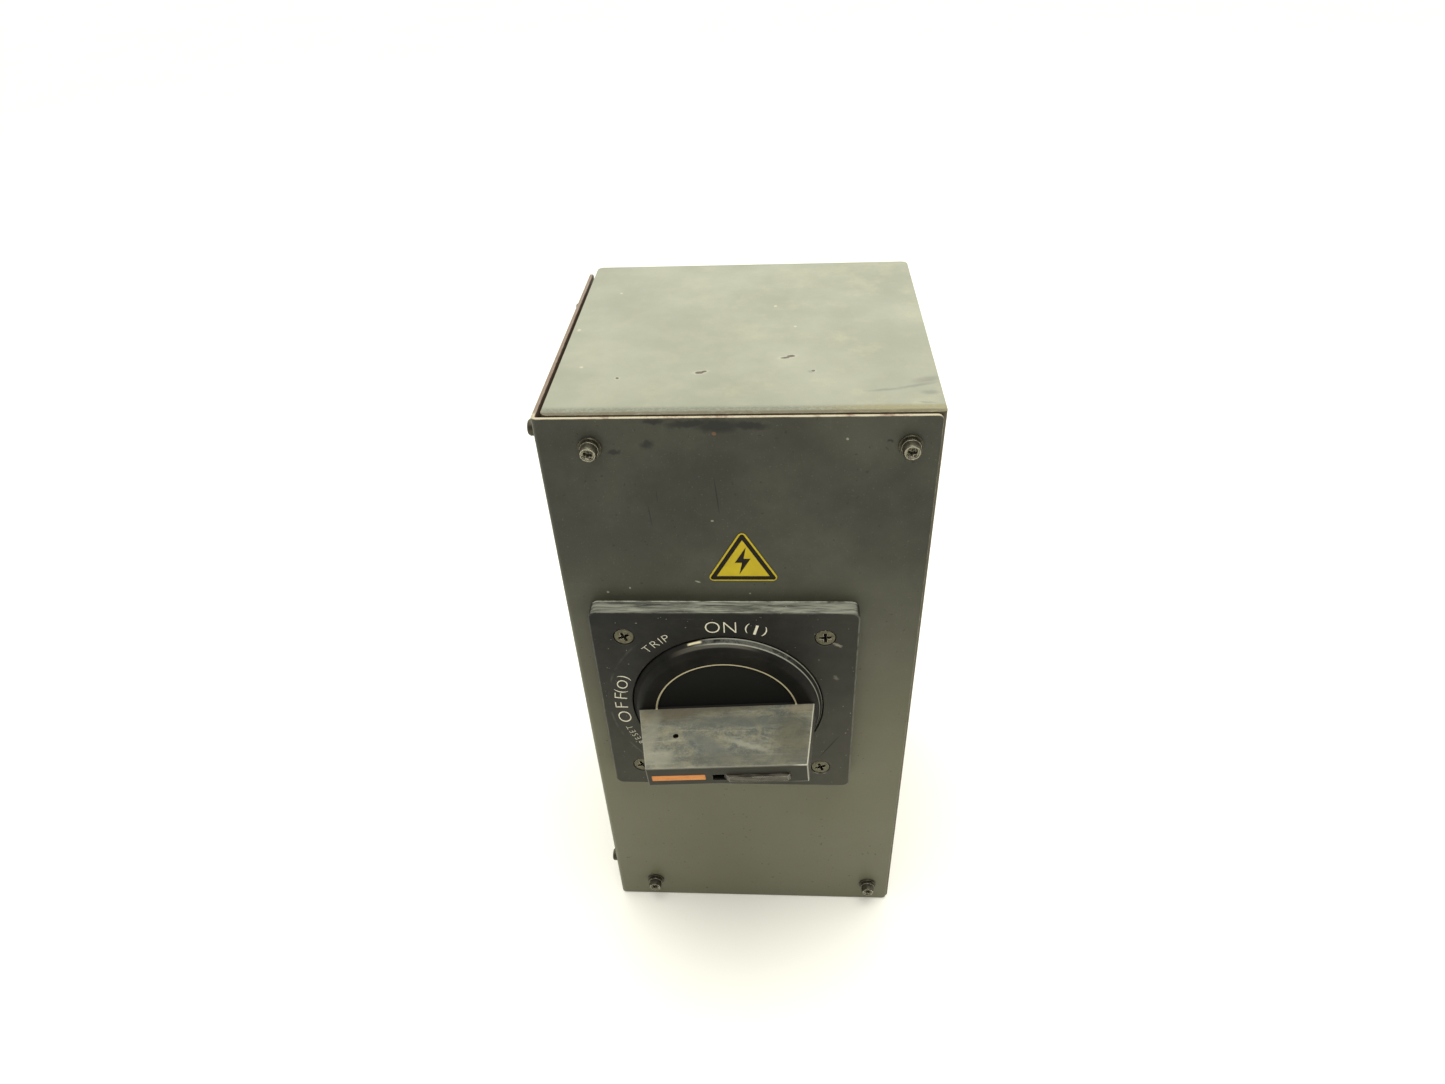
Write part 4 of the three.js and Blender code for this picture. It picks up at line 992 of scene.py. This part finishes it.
def plate_screw(name):
    """A countersunk screw, its head's face at y = 0."""
    head, shank, end = 4.4 * MM, 2.4 * MM, 14 * MM
    screw = lathe(name, [
        (0, 0), (head - 0.2 * MM, 0), (head, 0.15 * MM), (head, 0.4 * MM), (shank, 2.4 * MM),
        (shank, end - 0.4 * MM), (shank - 0.4 * MM, end), (0, end)], 56)
    boolean(screw, cross_recess(0, 3.0 * MM, 1.9 * MM, 0.8 * MM), mark=DEEP)
    return rounded_edges(screw, 0.08 * MM, 2, 50)


def seat(node):
    """Where a screw sits: its washer on the front or the left wall, or its head in the plate's face."""
    low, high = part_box(node)
    middle = (low + high) / 2
    if node.startswith("side"):
        return at(COVER_LO.x, middle.y, middle.z) @ turned(-90, "Z")
    return at(middle.x, FRONT if node.startswith("front") else low.y, middle.z)


def place_screws():
    """Puts every outside screw in its CAD node's place, each turned its own way."""
    quarter = math.radians(90)
    steel = dull_zinc("screw_zinc", (0.085, 0.079, 0.053))
    brassy = dull_zinc("plate_screw_zinc", (0.145, 0.135, 0.084))
    kinds = (("front_screw", washer_screw, steel, 0, quarter),
             ("side_screw", washer_screw, steel, 0, quarter),
             ("plate_screw", plate_screw, brassy, -0.5, 0.5))
    for prefix, make, material, least, most in kinds:
        for node in sorted(n for n in frame["nodes"] if n.startswith(prefix)):
            screw = make(node + "_look")
            screw.matrix_world = seat(node) @ Matrix.Rotation(RNG.uniform(least, most), 4, "Y")
            adopt(screw, "box", node, material)


# ---- label and legends

LABEL = sizes(side=32.5, thick=0.25, band_outer=29.9, band_inner=23.1, ink=0.06)
LETTER_HALF = 0.03 * MM
LETTER_FACE = PLATE.face - 0.02 * MM


def triangle(side, radius):
    """Corners of an upright triangle about its centre, rounded."""
    turns = [math.radians(90 + 120 * i) for i in range(3)]
    corners = [(x, z) for x, _, z in (around(side / math.sqrt(3), turn) for turn in turns)]
    return rounded(corners, radius, 8)


def printed(obj, matrix, material):
    """Sets a thin piece of print or lettering in place on the box."""
    transform(obj, matrix)
    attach(obj, "box")
    finish(obj, material)


def warning_label():
    """Yellow film with a black band and a plain zigzag."""
    film = prism("warning_label_look", triangle(LABEL.side, 2 * MM), -LABEL.thick, 0)
    rounded_edges(film, 0.05 * MM, 2)
    below_centre = LABEL.side / (2 * math.sqrt(3))
    centre = at((LABEL_LO.x + LABEL_HI.x) / 2, LABEL_HI.y, LABEL_LO.z + below_centre)
    transform(film, centre)
    adopt(film, "box", "warning_label", label_film())
    black = ink("label_ink", (0.013, 0.010, 0.007), (0.035, 0.028, 0.014))
    top = centre @ at(0, -LABEL.thick, 0)
    band = prism("label_band", triangle(LABEL.band_outer, 1.0 * MM), -LABEL.ink, 0)
    boolean(band, [prism("tool", triangle(LABEL.band_inner, 0), -MM, MM)])
    printed(band, top, black)
    zigzag = [(1.5, 18.8), (-3.4, 10.3), (-0.3, 10.3), (-1.6, 3.8), (3.4, 12.5), (0.4, 12.5)]
    outline = [(x * MM, z * MM - below_centre) for x, z in zigzag]
    printed(prism("label_bolt", outline, -LABEL.ink, 0), top, black)


def lettering(words, size, squeeze, thin):
    """Letters a hair thick, facing the front and centred on the box round them, with their width."""
    curve = bpy.data.curves.new("letters", "FONT")
    curve.body = words
    curve.size = size
    curve.space_character = 1.04
    curve.resolution_u = 6
    curve.extrude = LETTER_HALF
    curve.offset = thin * size
    source = link_object("letters", curve)
    mesh = final_mesh(source)
    bpy.data.objects.remove(source, do_unlink=True)
    make_room_for_marks(mesh)
    across, up = [v.co.x for v in mesh.vertices], [v.co.y for v in mesh.vertices]
    middle = at(-(min(across) + max(across)) / 2, -(min(up) + max(up)) / 2, 0)
    upright = turned(90, "X") @ Matrix.Scale(squeeze, 4, (1, 0, 0)) @ middle
    return transform(link_object("letters", mesh), upright), (max(across) - min(across)) * squeeze


def on_dial(radius, angle):
    """Upright outwards on the plate's face, at a radius and an angle in degrees round the handle's axis."""
    turn = math.radians(angle)
    spot = at(*around(radius, turn, LETTER_FACE))
    return ON_FRONT @ spot @ Matrix.Rotation(math.radians(90) - turn, 4, "Y")


def arc_legend(name, words, size, radius, start, stop, material, squeeze, thin):
    """Letters standing outwards on an arc, spread clockwise from one angle to the other."""
    letters = [lettering(letter, size, squeeze, thin) for letter in words]
    arc = math.radians(start - stop) * radius
    gap = (arc - sum(width for _, width in letters)) / (len(words) - 1)
    along = 0.0
    for letter, width in letters:
        transform(letter, on_dial(radius, start - math.degrees((along + width / 2) / radius)))
        along += width + gap
    legend = joined(name, [letter for letter, _ in letters])
    printed(legend, Matrix.Identity(4), material)


def legends():
    """The dial's plain words: positions of a switch, cut into the plate and filled with paint."""
    cream = ink("legend_ink", (0.86, 0.82, 0.66), (0.40, 0.38, 0.30), 0.5, 0.78, 0.5)
    thin = ink("legend_worn", (0.66, 0.64, 0.51), (0.16, 0.16, 0.13), 0.56, 0.74, 0.7)
    word, _ = lettering("ON", 9.86 * MM, 0.965, -0.018)
    word.name = "legend_on"
    on_top = ON_FRONT @ at(-1.25 * MM, LETTER_FACE, 51.75 * MM)
    printed(word, on_top, cream)
    stroke = rectangle(-0.6 * MM, 0.6 * MM, -2.85 * MM, 2.85 * MM)
    bar = prism("legend_on_bar", stroke, -LETTER_HALF, LETTER_HALF)
    printed(bar, on_dial(52.3 * MM, 73.9), cream)
    for name, side, angle in (("legend_on_left", "(", 78.5), ("legend_on_right", ")", 69.3)):
        bracket, _ = lettering(side, 6.1 * MM, 1.0, 0.0)
        bracket.name = name
        printed(bracket, on_dial(52.5 * MM, angle), cream)
    arc_legend("legend_trip", "TRIP", 6.3 * MM, 52 * MM, 135.3, 119.0, cream, 1.14, -0.024)
    arc_legend("legend_off", "OFF", 9.4 * MM, 51.5 * MM, 193.8, 171.0, cream, 1.16, -0.020)
    arc_legend("legend_off_sign", "(O)", 7.6 * MM, 51.6 * MM, 170.3, 157.6, cream, 1.05, -0.012)
    arc_legend("legend_reset", "RESET", 4.7 * MM, 52 * MM, 212.4, 197.5, thin, 0.86, -0.018)


# ---- the rest of the box


def sheet_metal():
    cover = from_node("front_cover", 0.35 * MM, 3, 35, is_outline)
    adopt(cover, "box", "front_cover", cover_paint())
    body = from_node("enclosure_body", 0.9 * MM, 3, 35, is_outline)
    adopt(body, "box", "enclosure_body", body_paint())


def cable_grommet(material):
    """Round rubber bush through the right wall: a soft outer flange, a neck and an inner flange."""
    low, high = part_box("cable_grommet")
    wall = BODY_HI.x
    outside, inside = wall - high.x, wall - low.x
    flange, neck, bore, sheet, soft = 19 * MM, 15.9 * MM, 12 * MM, 1.7 * MM, 0.7 * MM
    bush = lathe("cable_grommet_look", [
        (bore, outside + soft), (bore + soft, outside), (flange - 2 * soft, outside),
        (flange, outside + 2 * soft), (flange, -0.1 * MM), (neck, -0.1 * MM), (neck, sheet),
        (flange - soft, sheet), (flange - soft, inside - soft), (flange - 2 * soft, inside),
        (bore + soft, inside), (bore, inside - soft)], 72)
    rounded_edges(bush, 0.4 * MM, 3, 30)
    bush.matrix_world = at(wall, (low.y + high.y) / 2, (low.z + high.z) / 2) @ turned(90, "Z")
    adopt(bush, "box", "cable_grommet", material)


def dress(material, *prefixes):
    """Gives a finish to every CAD node whose name starts with one of the prefixes."""
    for node in sorted(frame["nodes"]):
        if node.startswith(prefixes):
            mesh = frame["nodes"][node].data
            mesh.materials.clear()
            mesh.materials.append(material)


def inner_parts():
    """CAD nodes that keep their own shape and only take a finish."""
    rubber = moulded("seal_rubber", (0.022, 0.022, 0.022), 0.75, 0.15)
    cable_grommet(rubber)
    dress(rubber, "handle_gasket")
    dress(brushed_metal("copper", (0.80, 0.42, 0.25), 0.3),
          "line_terminal", "load_terminal", "contact_arm", "earth_stud")
    dress(brushed_metal("bright_steel", (0.56, 0.56, 0.55), 0.3),
          "line_screw", "load_screw", "frame_screw", "breaker_screw", "hub_screw", "hub_circlip")
    dress(dull_zinc("browned_steel", (0.045, 0.033, 0.02), 0.6), "lock_screw")
    dress(brushed_metal("machined_steel", (0.5, 0.5, 0.5), 0.35), "handle_shaft", "pinion", "clamp_plate")
    dress(dull_zinc("inner_zinc", (0.5, 0.47, 0.36), 0.35),
          "mechanism_frame", "mounting_bracket", "handle_hub")
    dress(moulded("breaker_black", (0.035, 0.036, 0.04), 0.42), "breaker_base", "breaker_toggle")
    dress(moulded("breaker_grey", (0.12, 0.125, 0.13), 0.45), "breaker_cover", "toothed_slider")
    dress(moulded("button_red", (0.50, 0.03, 0.02), 0.35, 0.05), "trip_button")
    dress(moulded("carrier_fibre", (0.42, 0.34, 0.22), 0.6), "contact_carrier")


# ---- floor, light and camera


def floor():
    """White card with a faint glow that fills its shadows, greying off well in front of the box."""
    below = -0.2 * MM
    bpy.ops.mesh.primitive_circle_add(vertices=96, radius=12, fill_type="NGON", location=(0, 0, below))
    ground = bpy.context.object
    ground.name = "floor"
    paint = Paint("pale_floor", 0.6)
    paint.base(paint.clouds(250, 3, 0.5, 0.3, 0.7), (0.65, 0.65, 0.59), (0.67, 0.66, 0.60))
    in_front = paint.along("Y", -0.4, -2.0)
    paint.coat((0.41, 0.41, 0.385), in_front)
    paint.link(paint.mix(in_front, (1, 0.985, 0.86), (0.62, 0.62, 0.56)), paint.sockets["Emission Color"])
    paint.sockets["Emission Strength"].default_value = 0.3
    ground.data.materials.append(paint.done())


def light_tent():
    """A white tent, bright behind and above the box and dim on the camera's side."""
    world = bpy.data.worlds.new("tent")
    bpy.context.scene.world = world
    world.use_nodes = True
    tree = world.node_tree
    background = tree.nodes["Background"]
    coords = tree.nodes.new("ShaderNodeTexCoord")
    parts = tree.nodes.new("ShaderNodeSeparateXYZ")
    tree.links.new(coords.outputs["Generated"], parts.inputs[0])
    fade = tree.nodes.new("ShaderNodeMapRange")
    for name, value in (("From Min", -0.5), ("From Max", 0.15), ("To Min", 0.22), ("To Max", 1.7)):
        fade.inputs[name].default_value = value
    tree.links.new(parts.outputs["Y"], fade.inputs["Value"])
    background.inputs["Color"].default_value = (1.0, 0.99, 0.94, 1)
    tree.links.new(fade.outputs[0], background.inputs["Strength"])


def overhead_lamp():
    """A square lamp straight above a point in front of the box; a lamp shines down unless it is turned."""
    data = bpy.data.lights.new("overhead", "AREA")
    data.shape = "SQUARE"
    data.size = 0.9
    data.energy = 18
    data.color = (1, 0.99, 0.95)
    link_object("overhead", data).location = (0.05, -0.24, 1.6)


def camera():
    """Above and a little to the right of the handle, looking down on it with a slight roll."""
    data = bpy.data.cameras.new("camera")
    data.sensor_width = 36
    data.lens = 22.92
    data.clip_start = 0.01
    data.clip_end = 20
    place = Vector((18.0, -381.6, 514.5)) * MM
    aim = Vector((-7.7, -75.75, 273.2)) * MM
    roll = math.radians(3.03)
    look = (aim - place).to_track_quat("-Z", "Y").to_matrix().to_4x4()
    cam = link_object("camera", data)
    cam.matrix_world = Matrix.Translation(place) @ look @ Matrix.Rotation(-roll, 4, "Z")
    bpy.context.scene.camera = cam


sheet_metal()
handle_plate()
rotary_handle()
index_strip()
lock_plate()
lock_spring()
place_screws()
warning_label()
legends()
inner_parts()
floor()
light_tent()
overhead_lamp()
camera()
bpy.context.scene.view_settings.view_transform = "Standard"
